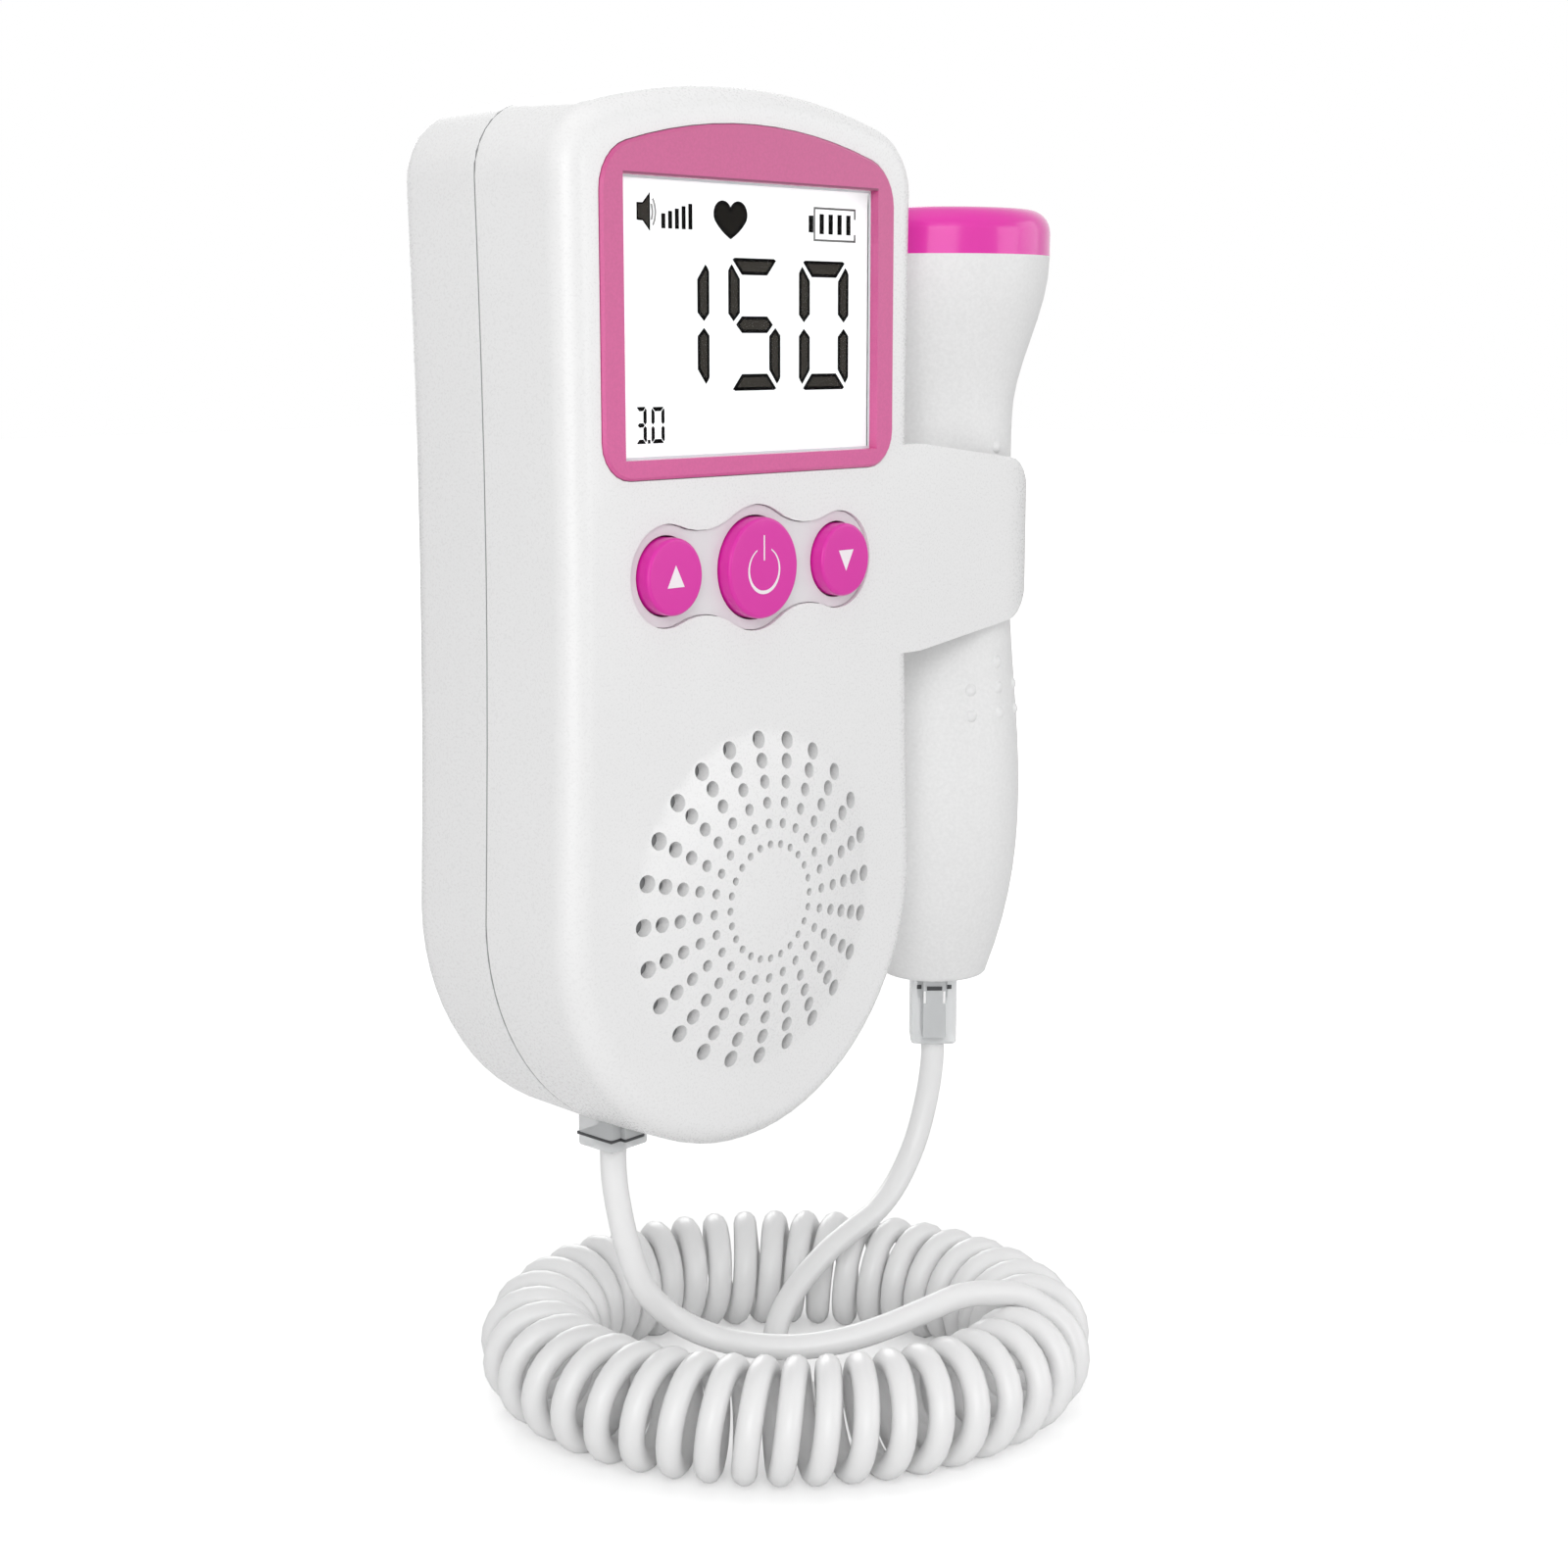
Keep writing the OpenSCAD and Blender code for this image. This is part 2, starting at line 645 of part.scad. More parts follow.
membrane_flange = 1.4;
membrane_t = 1;
membrane_back_y = inner_face_y + membrane_t;
cap_flange_t = 0.8;
cap_flange_y = membrane_back_y + 0.1;
switch_h = 3.5;
switch_w = 6;
plunger_r = 1.75;
plunger_l = 2.9;
plunger_y = board_front_y - switch_h - 0.8;
button_at = [[-button_pitch, arrow_r], [0, power_r], [button_pitch, arrow_r]];
mark_depth = 0.25;

module keypad_membrane() color("lightgray") {
    difference() {
        at_keypad() union() {
            slab(face_y + keypad_recess, inner_face_y + eps) polygon(keypad_outline(0));
            slab(inner_face_y, membrane_back_y) polygon(keypad_outline(-membrane_flange));
        }
        for (b = button_at)
            along_face(b[0], 0, -button_drop) cylinder(h = unit_d, r = b[1] + button_gap, $fn = 64);
    }
}

// A hard cap: a crowned edge in front, a flange behind the membrane and a short stem
module button_cap(x, r) {
    crown = 0.45;
    body_l = cap_flange_y - face_y + button_proud;
    along_face(x, cap_flange_y, -button_drop) rotate_extrude($fn = 72)
        polygon(concat([[0, 0], [r, 0]], arc([r - crown, body_l - crown], crown, 0, 90, 4),
            [[0, body_l]]));
    along_face(x, cap_flange_y + cap_flange_t, -button_drop)
        cylinder(h = cap_flange_t, r = r + 0.9, $fn = 64);
    along_face(x, plunger_y, -button_drop)
        cylinder(h = plunger_y - cap_flange_y, r = 2, $fn = 32);
}

module mark_cut() {
    slab(face_y - button_proud - 1, face_y - button_proud + mark_depth) children();
}

module up_button() color("mediumvioletred")
    difference() {
        button_cap(-button_pitch, arrow_r);
        mark_cut() translate([-button_pitch, -button_drop])
            polygon([[-1.5, -1.3], [1.5, -1.3], [0, 1.5]]);
    }

module down_button() color("mediumvioletred")
    difference() {
        button_cap(button_pitch, arrow_r);
        mark_cut() translate([button_pitch, -button_drop])
            polygon([[-1.5, 1.3], [1.5, 1.3], [0, -1.5]]);
    }

module power_button() color("mediumvioletred")
    difference() {
        button_cap(0, power_r);
        mark_cut() translate([0, -button_drop]) {
            difference() {
                translate([0, -0.3]) circle(3, $fn = 48);
                translate([0, -0.15]) circle(2.66, $fn = 48);
                translate([-1.3, 0]) square([2.6, 4]);
            }
            translate([-0.14, 0.95]) square([0.28, 3.2]);
        }
    }

module plunger(x) {
    along_face(x, plunger_y + plunger_l, -button_drop) cylinder(h = plunger_l, r = plunger_r, $fn = 32);
}

module up_plunger() color("dimgray") plunger(-button_pitch);
module power_plunger() color("dimgray") plunger(0);
module down_plunger() color("dimgray") plunger(button_pitch);

module key_switches() color("silver")
    for (b = button_at)
        difference() {
            translate([b[0] - switch_w / 2, board_front_y - switch_h, -button_drop - switch_w / 2])
                cube([switch_w, switch_h, switch_w]);
            along_face(b[0], plunger_y + plunger_l + button_travel + fit, -button_drop)
                cylinder(h = switch_h + 1, r = plunger_r + 0.05, $fn = 32);
        }

// ---------------------------------------------------------------- electronics

module main_board() color("seagreen")
    difference() {
        slab(board_front_y, board_back_y) translate([0, (board_top + board_bottom) / 2])
            offset_rect(board_w, board_top - board_bottom, 2.5);
        for (p = post_at)
            along_face(p[0], board_back_y + 1, p[1]) cylinder(h = 4, r = 1.15, $fn = 24);
    }

module offset_rect(w, h, r) {
    hull() for (x = [-1, 1], z = [-1, 1])
        translate([x * (w / 2 - r), z * (h / 2 - r)]) circle(r, $fn = 24);
}

module chip(x, z, w, h, t) {
    translate([x - w / 2, board_back_y, z - h / 2]) cube([w, t, h]);
}

module board_chips() color([0.15, 0.15, 0.17]) {
    chip(-8, 4, 10, 10, 1.6);
    chip(10, 6, 7, 9, 1.5);
    chip(11, -9, 5, 6, 1.5);
    chip(-9, -12, 11, 4.5, 3.4);
    chip(-20, -4, 3, 2, 1);
    chip(-20, 2, 3, 2, 1);
    chip(20, -14, 3, 2, 1);
}

board_screw_head_r = 1.9;
board_screw_head_h = 1.3;
board_screw_l = 6;

module board_screws() color("silver")
    for (p = post_at) {
        along_face(p[0], board_back_y + board_screw_head_h, p[1])
            cylinder(h = board_screw_head_h, r = board_screw_head_r, $fn = 32);
        along_face(p[0], board_back_y + eps, p[1])
            cylinder(h = board_screw_l, r = post_hole_r - 0.05, $fn = 24);
    }

speaker_rim_t = 1.6;
speaker_step = 0.9;
magnet_r = 9;
magnet_t = 3.2;
coil_r = 3.8;
basket_back_y = speaker_y + speaker_d - magnet_t;

module speaker_frame() color("gray")
    along_face(0, speaker_y, grille_z) mirror([0, 0, 1]) rotate_extrude($fn = 72)
        polygon([[speaker_r - 2.2, 0], [speaker_r, 0], [speaker_r, speaker_rim_t],
            [speaker_r - 2.6, speaker_rim_t], [magnet_r + 1.2, speaker_d - magnet_t],
            [coil_r + 0.4, speaker_d - magnet_t], [coil_r + 0.4, speaker_d - magnet_t - 1],
            [magnet_r + 0.6, speaker_d - magnet_t - 1], [speaker_r - 3.4, speaker_step],
            [speaker_r - 2.2, speaker_step]]);

module speaker_cone() color("dimgray")
    along_face(0, speaker_y, grille_z) mirror([0, 0, 1]) rotate_extrude($fn = 72)
        polygon([[0, 1.4], [5, 2.6], [speaker_r - 3.8, 0.2], [speaker_r - 2.4, 0.2],
            [speaker_r - 2.4, speaker_step - fit], [speaker_r - 3.6, speaker_step - fit],
            [6, 3.2], [coil_r, 3.4], [coil_r, 4.3], [0, 4.3]]);

module speaker_magnet() color("silver")
    along_face(0, basket_back_y + magnet_t, grille_z) cylinder(h = magnet_t, r = magnet_r, $fn = 64);

// ---------------------------------------------------------------- sockets

jack_wall = 1.3;
jack_w = plug_w + 2 * fit + 2 * jack_wall;
jack_d = 12;
jack_top_z = bay_bottom - bay_wall - 3;
jack_low_z = bottom_z + 0.2
    - sqrt(pow(bottom_r - shell_wall - side_draft, 2) - pow(socket_x + jack_w / 2, 2));
ear_nose_r = 3;
ear_bore_r = 1.8;
ear_bore_l = 12;
ear_low_z = bottom_z + 0.3 - sqrt(pow(bottom_r, 2) - pow(socket_x + ear_nose_r, 2));
socket_board_y = socket_y + jack_d / 2;
socket_board_t = 1.6;
socket_post_z = (jack_low_z + jack_top_z) / 2;
unit_plug_z = socket_surface_z - 2.6;

module socket_board() color("seagreen")
    translate([-socket_x - jack_w / 2, socket_board_y, jack_low_z + 0.2])
        cube([2 * socket_x + jack_w, socket_board_t, jack_top_z - jack_low_z - 0.2]);

// The socket's mouth takes the plug with a small gap all round
module probe_socket() color("darkgray")
    difference() {
        translate([-socket_x - jack_w / 2, socket_y - jack_d / 2, jack_low_z])
            cube([jack_w, jack_d, jack_top_z - jack_low_z]);
        translate([-socket_x, socket_y, jack_low_z - 1])
            linear_extrude(unit_plug_z + plug_l + plug_gap - jack_low_z + 1) plug_section(fit);
    }

module earphone_socket() color([0.2, 0.2, 0.22])
    difference() {
        union() {
            translate([socket_x, socket_y, ear_low_z]) cylinder(h = 6, r = ear_nose_r, $fn = 48);
            translate([socket_x - 4, socket_y - 4, jack_low_z])
                cube([8, 4 + jack_d / 2, jack_top_z - jack_low_z]);
        }
        translate([socket_x, socket_y, ear_low_z - 1])
            cylinder(h = ear_bore_l + 1, r = ear_bore_r, $fn = 48);
    }

// ---------------------------------------------------------------- probe

// Radius of the handle at a height above its lower end
function probe_r(h) =
    h < belly_h ? between(end_r, belly_r,
        1 - pow(1 - max(0, h - end_round) / (belly_h - end_round), belly_power))
    : h < neck_from ? between(belly_r, neck_r, ease((h - belly_h) / (neck_from - belly_h)))
    : h < neck_to ? neck_r
    : between(neck_r, head_r, ease((h - neck_to) / (seam_h - neck_to)));

belly_power = 2.2;
end_round = 0.8;
seam_h = probe_l - cap_h;
probe_hs = concat([for (i = [0:7]) between(end_round, belly_h, i / 7)],
    [for (i = [1:8]) between(belly_h, neck_from, i / 8)],
    [for (i = [0:8]) between(neck_to, seam_h, i / 8)]);
plug_turn = -48;
jack_r = 6.2;
jack_len = 13;
bump_rise = 0.45;
bump_columns = [-26, 0, 26];
board_slot_t = 1.2;

module at_probe() { translate([probe_x, probe_y, probe_base_z]) children(); }

module handle_solid() {
    rotate_extrude($fn = 96)
        polygon(concat([[0, 0]], arc([end_r - end_round, end_round], end_round, -90, 0, 3),
            [for (i = [1:len(probe_hs) - 1]) [probe_r(probe_hs[i]), probe_hs[i]]], [[0, seam_h]]));
}

module handle_hollow() {
    hs = [for (h = probe_hs) if (h > probe_wall + 0.5 && h < seam_h - 1) h];
    rotate_extrude($fn = 96)
        polygon(concat([[0, probe_wall], [probe_r(probe_wall) - probe_wall, probe_wall]],
            [for (h = hs) [probe_r(h) - probe_wall, h]],
            [[head_r - probe_wall, seam_h], [head_r - probe_wall, seam_h + 1], [0, seam_h + 1]]));
}

module plug_opening() {
    rotate([0, 0, plug_turn]) translate([0, 0, -1])
        linear_extrude(probe_wall + 2) plug_section(plug_gap);
}

// Three rows of bumps stand below the clip, and one bump above it
module grip_bump(a, h) {
    r = probe_r(h) + bump_rise - bump_d / 2;
    translate([r * cos(a), r * sin(a), h]) sphere(d = bump_d, $fn = 24);
}
module grip_bumps() {
    for (a = bump_columns, j = [1:3])
        grip_bump(a - 90, clip_bottom_z - bump_pitch * j - probe_base_z);
    grip_bump(bump_columns[1] - 90, clip_z + clip_neck_h / 2 + bump_d / 2 + 0.2 - probe_base_z);
}

// Half of the handle, cut along the plane of the probe's axis
module handle_half(front) {
    difference() {
        union() {
            handle_solid();
            if (front) grip_bumps();
        }
        handle_hollow();
        plug_opening();
        translate([-2 * head_r, front ? 0 : -4 * head_r, -1]) cube([4 * head_r, 4 * head_r, probe_l]);
    }
}

module probe_front_shell() color("whitesmoke") at_probe() handle_half(true);
module probe_rear_shell() color("whitesmoke") at_probe() handle_half(false);

cap_wall = 1.6;
cap_skirt = 2.6;
skirt_r = head_r - probe_wall - 0.1;
skirt_low_r = probe_r(seam_h - cap_skirt) - probe_wall - 0.1;

module probe_cap() color("deeppink") at_probe()
    rotate_extrude($fn = 96)
        polygon(concat([[skirt_r - 1.4, seam_h - cap_skirt], [skirt_low_r, seam_h - cap_skirt],
            [skirt_r, seam_h], [head_r, seam_h]],
            arc([head_r - cap_round, probe_l - cap_round], cap_round, 0, 90, 8),
            [[0, probe_l], [0, probe_l - cap_wall], [skirt_r - 1.4, probe_l - cap_wall]]));

crystal_r = 10;
crystal_t = 2;
backing_t = 5;

module piezo_crystal() color("tan") at_probe()
    translate([0, 0, probe_l - cap_wall - crystal_t]) cylinder(h = crystal_t, r = crystal_r, $fn = 64);

module crystal_backing() color("darkslategray") at_probe()
    translate([0, 0, probe_l - cap_wall - crystal_t - backing_t])
        cylinder(h = backing_t, r = skirt_r - 1.4 - fit, $fn = 64);

module probe_board() color("seagreen") at_probe() {
    translate([-6.5, -board_slot_t / 2, probe_wall + jack_len])
        cube([13, board_slot_t, seam_h - cap_skirt - 4 - probe_wall - jack_len]);
    translate([-5, board_slot_t / 2, probe_wall + jack_len + 12]) cube([10, 1.5, 9]);
    translate([-4, board_slot_t / 2, probe_wall + jack_len + 30]) cube([8, 1.5, 6]);
    translate([-4, -board_slot_t / 2 - 2.4, probe_wall + jack_len + 50]) cube([8, 2.4, 5]);
}

module probe_jack() color("darkgray") at_probe()
    difference() {
        translate([0, 0, probe_wall]) cylinder(h = jack_len, r = jack_r, $fn = 48);
        rotate([0, 0, plug_turn])
            linear_extrude(plug_l - plug_out + plug_gap) plug_section(fit);
    }

// ---------------------------------------------------------------- plugs

latch_w = 3.4;
latch_t = 0.9;
latch_from = 1.2;
latch_l = 11;
plug_gap = 0.25;
contact_w = 0.5;
contact_l = 4;
contact_pitch = 1.25;

// A clear modular plug with its latch towards -Y and its cord end at z = 0
module plug_body() {
    difference() {
        translate([-plug_w / 2, -plug_d / 2, 0]) cube([plug_w, plug_d, plug_l]);
        for (i = [0:3])
            translate([(i - 1.5) * contact_pitch - contact_w / 2, plug_d / 2 - 1.5,
                plug_l - contact_l]) cube([contact_w, 3, contact_l + 1]);
    }
}

module plug_latch() {
    translate([-latch_w / 2, -plug_d / 2 - latch_t, latch_from]) cube([latch_w, latch_t, latch_l]);
}

module at_probe_plug() {
    translate([probe_x, probe_y, probe_base_z - plug_out]) rotate([0, 0, plug_turn]) children();
}
module at_unit_plug() { translate([-socket_x, socket_y, unit_plug_z]) children(); }

module probe_plug() color([0.9, 0.92, 0.94, 0.5]) at_probe_plug() plug_body();
module probe_plug_latch() color([0.9, 0.92, 0.94, 0.5]) at_probe_plug() plug_latch();
module unit_plug() color([0.9, 0.92, 0.94, 0.5]) at_unit_plug() plug_body();
module unit_plug_latch() color([0.9, 0.92, 0.94, 0.5]) at_unit_plug() plug_latch();

// ---------------------------------------------------------------- cord

// The curly cord lies in an oval ring on the surface below. It starts on top of the ring, where
// the unit's lead comes over it, and ends at the bottom, where the probe's lead runs in along
// the surface. The curls lie close on the inside of the ring, and fan out on its outside.
ring_at = [14.8, -21.8];
surface_z = -149.8;
ring_z = surface_z + curl_r + cord_d / 2;
ring_turn = -48;
ring_start_a = -62;
ring_sweep_a = -346;
curl_start_t = 60;
curl_rings = 8;
ring_steps = 72;
lead_low_z = surface_z + cord_d / 2;

function unit_vec(v) = v / norm(v);
function ring_dir(a) = [cos(a), sin(a), 0];
// The oval's point whose outward direction is at angle a, and its radius of curvature there
function ring_span(a) = norm([ring_r * cos(a - ring_turn), ring_half_w * sin(a - ring_turn)]);
function ring_mid(a) = [ring_at[0], ring_at[1], ring_z]
    + pow(ring_r, 2) * cos(a - ring_turn) / ring_span(a) * ring_dir(ring_turn)
    + pow(ring_half_w, 2) * sin(a - ring_turn) / ring_span(a) * ring_dir(ring_turn + 90);
function ring_bend(a) = pow(ring_r * ring_half_w, 2) / pow(ring_span(a), 3);
// Angles round the ring against the length along its inside
ring_table = [for (i = 0, s = 0; i <= ring_steps;
    s = s + ring_bend(ring_start_a + ring_sweep_a * (i + 0.5) / ring_steps) - curl_r, i = i + 1)
    [s, ring_start_a + ring_sweep_a * i / ring_steps]];
function ring_a(u) = lookup(u * ring_table[ring_steps][0], ring_table);
function curl_t(u) = curl_start_t - (360 * curl_count - 90 + curl_start_t) * u;
function curl_at(a, t) = ring_mid(a) + curl_r * cos(t) * ring_dir(a) + [0, 0, curl_r * sin(t)];
function ring_point(u) = curl_at(ring_a(u), curl_t(u));

ring_end_a = ring_start_a + ring_sweep_a;
top_join = curl_at(ring_start_a, curl_start_t) - 0.85 * cord_d * ring_dir(-52) + [0, 0, 1.95];
top_before = top_join - 0.93 * cord_d * ring_dir(-34) + [0, 0, 1.45];
low_join = curl_at(ring_end_a, -90) - cord_d * ring_dir(ring_end_a);
low_before = low_join - cord_d * ring_dir(ring_end_a);

curl_steps = curl_count * curl_rings;
curl_path = concat([top_join], [for (i = [0:curl_steps]) ring_point(i / curl_steps)], [low_join]);

unit_exit = [-socket_x, socket_y, unit_plug_z];
unit_route = concat([unit_exit, unit_exit - [0, 0, cord_d]], [
    [-11.9, -15.5, -115], [-11, -16.4, -121.5], [-8.8, -17.2, -128], [-4.8, -18.6, -133],
    [-1.2, -22.3, -135.8], [1.4, -27.2, -136.5], [4.8, -32.2, -136.5], [9.2, -36.7, -135.7],
    [14, -40.5, -134.2], [18.8, -43.8, -132.3], [24, -46.4, -131]], [top_before, top_join]);

probe_exit = [probe_x, probe_y, probe_base_z - plug_out];
probe_route = concat([probe_exit, probe_exit - [0, 0, cord_d]], [
    [52.2, -16.9, -116], [50.2, -16.4, -122.5], [46, -16.4, -127.8], [40.6, -16.8, -130.8],
    [35, -17, -132.2], [29.4, -17, -133.9], [24.6, -16.8, -136.4], [20.6, -16.8, -139.2],
    [17.2, -17.7, -142.2], [14.8, -19.7, -144.8], [13.5, -22.7, -146.8], [13.7, -26.3, -147.9],
    [15.9, -29.7, -148.05], [19.6, -32.4, -148.05], [24.2, -34.9, -148.05],
    [28.9, -38.1, -148.05]], [low_before, low_join]);

// The plane in which the unit's lead and the first curl meet halves the bend between them
join_way = unit_vec(top_join - top_before) + unit_vec(ring_point(0) - top_join);

// Directions along a path, square to its ends unless a way is given for an end
function tangents(p, from, to) = let (n = len(p) - 1)
    [for (i = [0:n]) unit_vec(i == 0 ? (is_undef(from) ? p[1] - p[0] : from)
        : i == n ? (is_undef(to) ? p[n] - p[n - 1] : to)
        : unit_vec(p[i + 1] - p[i]) + unit_vec(p[i] - p[i - 1]))];
function square_to(v, t) = unit_vec(v - (v * t) * t);
// Carries one side direction along the path without twist
function sides_of(t, first) =
    [for (i = 0, s = square_to(first, t[0]); i < len(t);
        i = i + 1, s = square_to(s, t[min(i, len(t) - 1)])) s];
function tube_points(p, r, n, first, from, to) =
    let (t = tangents(p, from, to), s = sides_of(t, first))
    [for (i = [0:len(p) - 1], j = [0:n - 1]) let (a = 360 * j / n)
        p[i] + r * (cos(a) * s[i] + sin(a) * cross(t[i], s[i]))];
function tube_faces(m, n) = concat(wall_faces(m, n), [for (j = [1:n - 2]) [0, j, j + 1]],
    [for (j = [1:n - 2]) [(m - 1) * n, (m - 1) * n + j + 1, (m - 1) * n + j]]);

module tube(p, n, first, from, to) {
    polyhedron(points = tube_points(p, cord_d / 2, n, first, from, to),
        faces = tube_faces(len(p), n));
}

// Least gap from each turn to the next, from points to the straight pieces beside them
function span_gap(q, a, b) = let (u = max(0, min(1, (q - a) * (b - a) / ((b - a) * (b - a)))))
    norm(q - a - u * (b - a));
curl_gap = min([for (i = [0:len(curl_path) - 1], j = [i + 5:min(i + 12, len(curl_path) - 2)])
    span_gap(curl_path[i], curl_path[j], curl_path[j + 1])]) - cord_d;
function path_l(p) = let (d = [for (i = [1:len(p) - 1]) norm(p[i] - p[i - 1])]) d * [for (x = d) 1];
echo(curl_gap = curl_gap, curl_l = path_l(curl_path), unit_lead_l = path_l(unit_route),
    probe_lead_l = path_l(probe_route), unit_exit = unit_exit, probe_exit = probe_exit);

module unit_lead() color("whitesmoke") tube(unit_route, 8, [1, 0, 0], to = join_way);
module curly_cord() color("whitesmoke") tube(curl_path, 6, [0, 0, 1], from = join_way);
module probe_lead() color("whitesmoke") tube(probe_route, 8, [1, 0, 0]);

front_shell();
rear_shell();
display_bezel();
display_window();
lcd_glass();
backlight();
lcd_connectors();
keypad_membrane();
up_button();
power_button();
down_button();
up_plunger();
power_plunger();
down_plunger();
key_switches();
main_board();
board_chips();
board_screws();
shell_screws();
speaker_frame();
speaker_cone();
speaker_magnet();
battery_door();
battery_left();
battery_right();
battery_springs();
battery_plates();
socket_board();
probe_socket();
earphone_socket();
unit_plug();
unit_lead();
curly_cord();
probe_lead();
probe_plug();
probe_plug_latch();
unit_plug_latch();
probe_front_shell();
probe_rear_shell();
probe_cap();
piezo_crystal();
crystal_backing();
probe_board();
probe_jack();
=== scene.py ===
"""Dresses the fetal doppler monitor: casings, display, keypad, probe, plugs and curly cord."""

from __future__ import annotations

import json
import logging
import math
from collections.abc import Callable, Sequence
from dataclasses import dataclass
from enum import Enum

import bpy
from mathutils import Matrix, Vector

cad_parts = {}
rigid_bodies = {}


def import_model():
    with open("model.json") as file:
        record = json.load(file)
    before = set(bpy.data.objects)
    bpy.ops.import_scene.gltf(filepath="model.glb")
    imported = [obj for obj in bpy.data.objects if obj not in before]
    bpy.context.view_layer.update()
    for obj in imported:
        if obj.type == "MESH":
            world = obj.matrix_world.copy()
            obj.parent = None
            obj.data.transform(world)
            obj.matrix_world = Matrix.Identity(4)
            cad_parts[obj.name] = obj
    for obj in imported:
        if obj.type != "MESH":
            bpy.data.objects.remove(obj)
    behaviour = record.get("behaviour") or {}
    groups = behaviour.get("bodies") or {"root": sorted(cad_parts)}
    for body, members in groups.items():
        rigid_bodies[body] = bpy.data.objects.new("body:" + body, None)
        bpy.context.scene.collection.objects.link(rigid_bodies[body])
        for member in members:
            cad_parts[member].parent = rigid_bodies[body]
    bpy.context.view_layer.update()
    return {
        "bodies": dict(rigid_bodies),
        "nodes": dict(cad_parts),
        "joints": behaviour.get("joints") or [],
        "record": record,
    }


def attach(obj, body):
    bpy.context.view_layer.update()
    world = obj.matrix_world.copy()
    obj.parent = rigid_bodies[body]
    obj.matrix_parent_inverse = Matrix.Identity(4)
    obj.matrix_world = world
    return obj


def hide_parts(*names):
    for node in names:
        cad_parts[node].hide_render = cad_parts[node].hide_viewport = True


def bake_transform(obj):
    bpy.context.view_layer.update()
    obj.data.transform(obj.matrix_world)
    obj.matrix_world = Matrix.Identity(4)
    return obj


MM = 0.001
# The height of the white surface, on which the curls rest, in millimetres
FLOOR_Z = -149.8
# Most values of a noise texture lie between these two
NOISE_LOW, NOISE_HIGH = 0.3, 0.7
# Corners of a node's mesh that lie this close, in metres, are one corner
MERGE = 0.000002
log = logging.getLogger("doppler")
Flat = tuple[float, float]
Place = tuple[float, float, float]
Outline = Sequence[Flat]


class Body(Enum):
    """Bodies of the model that the pieces ride on."""

    UNIT = "unit"
    UP = "up_key"
    POWER = "power_key"
    DOWN = "down_key"
    DOOR = "battery_door"
    PROBE = "probe"


# ------------------------------------------------------------------ helpers


def point(x: float, y: float, z: float) -> Vector:
    """A point given in millimetres, in metres."""
    return Vector((x * MM, y * MM, z * MM))


def linear(colour: str) -> tuple[float, float, float, float]:
    """Turns an sRGB hex colour to linear light.

    Args:
        colour: six hex digits after a hash sign.

    Returns:
        Red, green and blue in linear light, and an alpha of 1.
    """
    parts = [int(colour[i : i + 2], 16) / 255 for i in (1, 3, 5)]
    bent = [c / 12.92 if c <= 0.04045 else ((c + 0.055) / 1.055) ** 2.4 for c in parts]
    return (bent[0], bent[1], bent[2], 1.0)


def add_node(
    owner: bpy.types.Material | bpy.types.World,
    kind: str,
    settings: dict | None = None,
    links: dict | None = None,
) -> bpy.types.Node:
    """Adds a node to the tree of a material or of the world.

    Args:
        owner: the material or world whose tree gets the node.
        kind: the node's type name.
        settings: values by property name, or by socket name or number.
        links: sockets of other nodes by this node's socket name or number.

    Returns:
        The new node.
    """
    node = owner.node_tree.nodes.new(kind)
    for key, value in (settings or {}).items():
        if isinstance(key, str) and hasattr(node, key):
            setattr(node, key, value)
        else:
            node.inputs[key].default_value = value
    for key, socket in (links or {}).items():
        owner.node_tree.links.new(socket, node.inputs[key])
    return node


def blank_material(name: str) -> bpy.types.Material:
    """Makes a material with an empty tree.

    Args:
        name: the material's name.

    Returns:
        The new material.
    """
    material = bpy.data.materials.new(name)
    material.use_nodes = True
    material.node_tree.nodes.clear()
    return material


def wear(obj: bpy.types.Object, *materials: bpy.types.Material) -> None:
    """Gives an object these materials in its slots, in order.

    Args:
        obj: a mesh or curve object.
        materials: the first one covers all faces that name no other slot.
    """
    obj.data.materials.clear()
    for material in materials:
        obj.data.materials.append(material)


def deselect() -> None:
    """Leaves edit mode and selects nothing."""
    if bpy.context.object and bpy.context.object.mode != "OBJECT":
        bpy.ops.object.mode_set(mode="OBJECT")
    bpy.ops.object.select_all(action="DESELECT")


def pick(obj: bpy.types.Object) -> None:
    """Makes one object the only selected and active one.

    Args:
        obj: the object.
    """
    deselect()
    obj.select_set(True)
    bpy.context.view_layer.objects.active = obj


def edit_all(obj: bpy.types.Object) -> None:
    """Enters edit mode with everything selected.

    Args:
        obj: the mesh object.
    """
    pick(obj)
    bpy.ops.object.mode_set(mode="EDIT")
    bpy.ops.mesh.select_mode(type="FACE")
    bpy.ops.mesh.select_all(action="SELECT")


def pick_faces(obj: bpy.types.Object, wanted: Callable[[bpy.types.MeshPolygon], bool]) -> None:
    """Selects the faces that pass a test, and enters edit mode.

    Args:
        obj: the mesh object.
        wanted: tells of each face whether it is selected.
    """
    edit_all(obj)
    bpy.ops.mesh.select_all(action="DESELECT")
    bpy.ops.object.mode_set(mode="OBJECT")
    for face in obj.data.polygons:
        face.select = wanted(face)
    bpy.ops.object.mode_set(mode="EDIT")


def place_in_mesh(obj: bpy.types.Object) -> None:
    """Moves an object's place, turn and size into its mesh."""
    pick(obj)
    bpy.ops.object.transform_apply(location=True, rotation=True, scale=True)


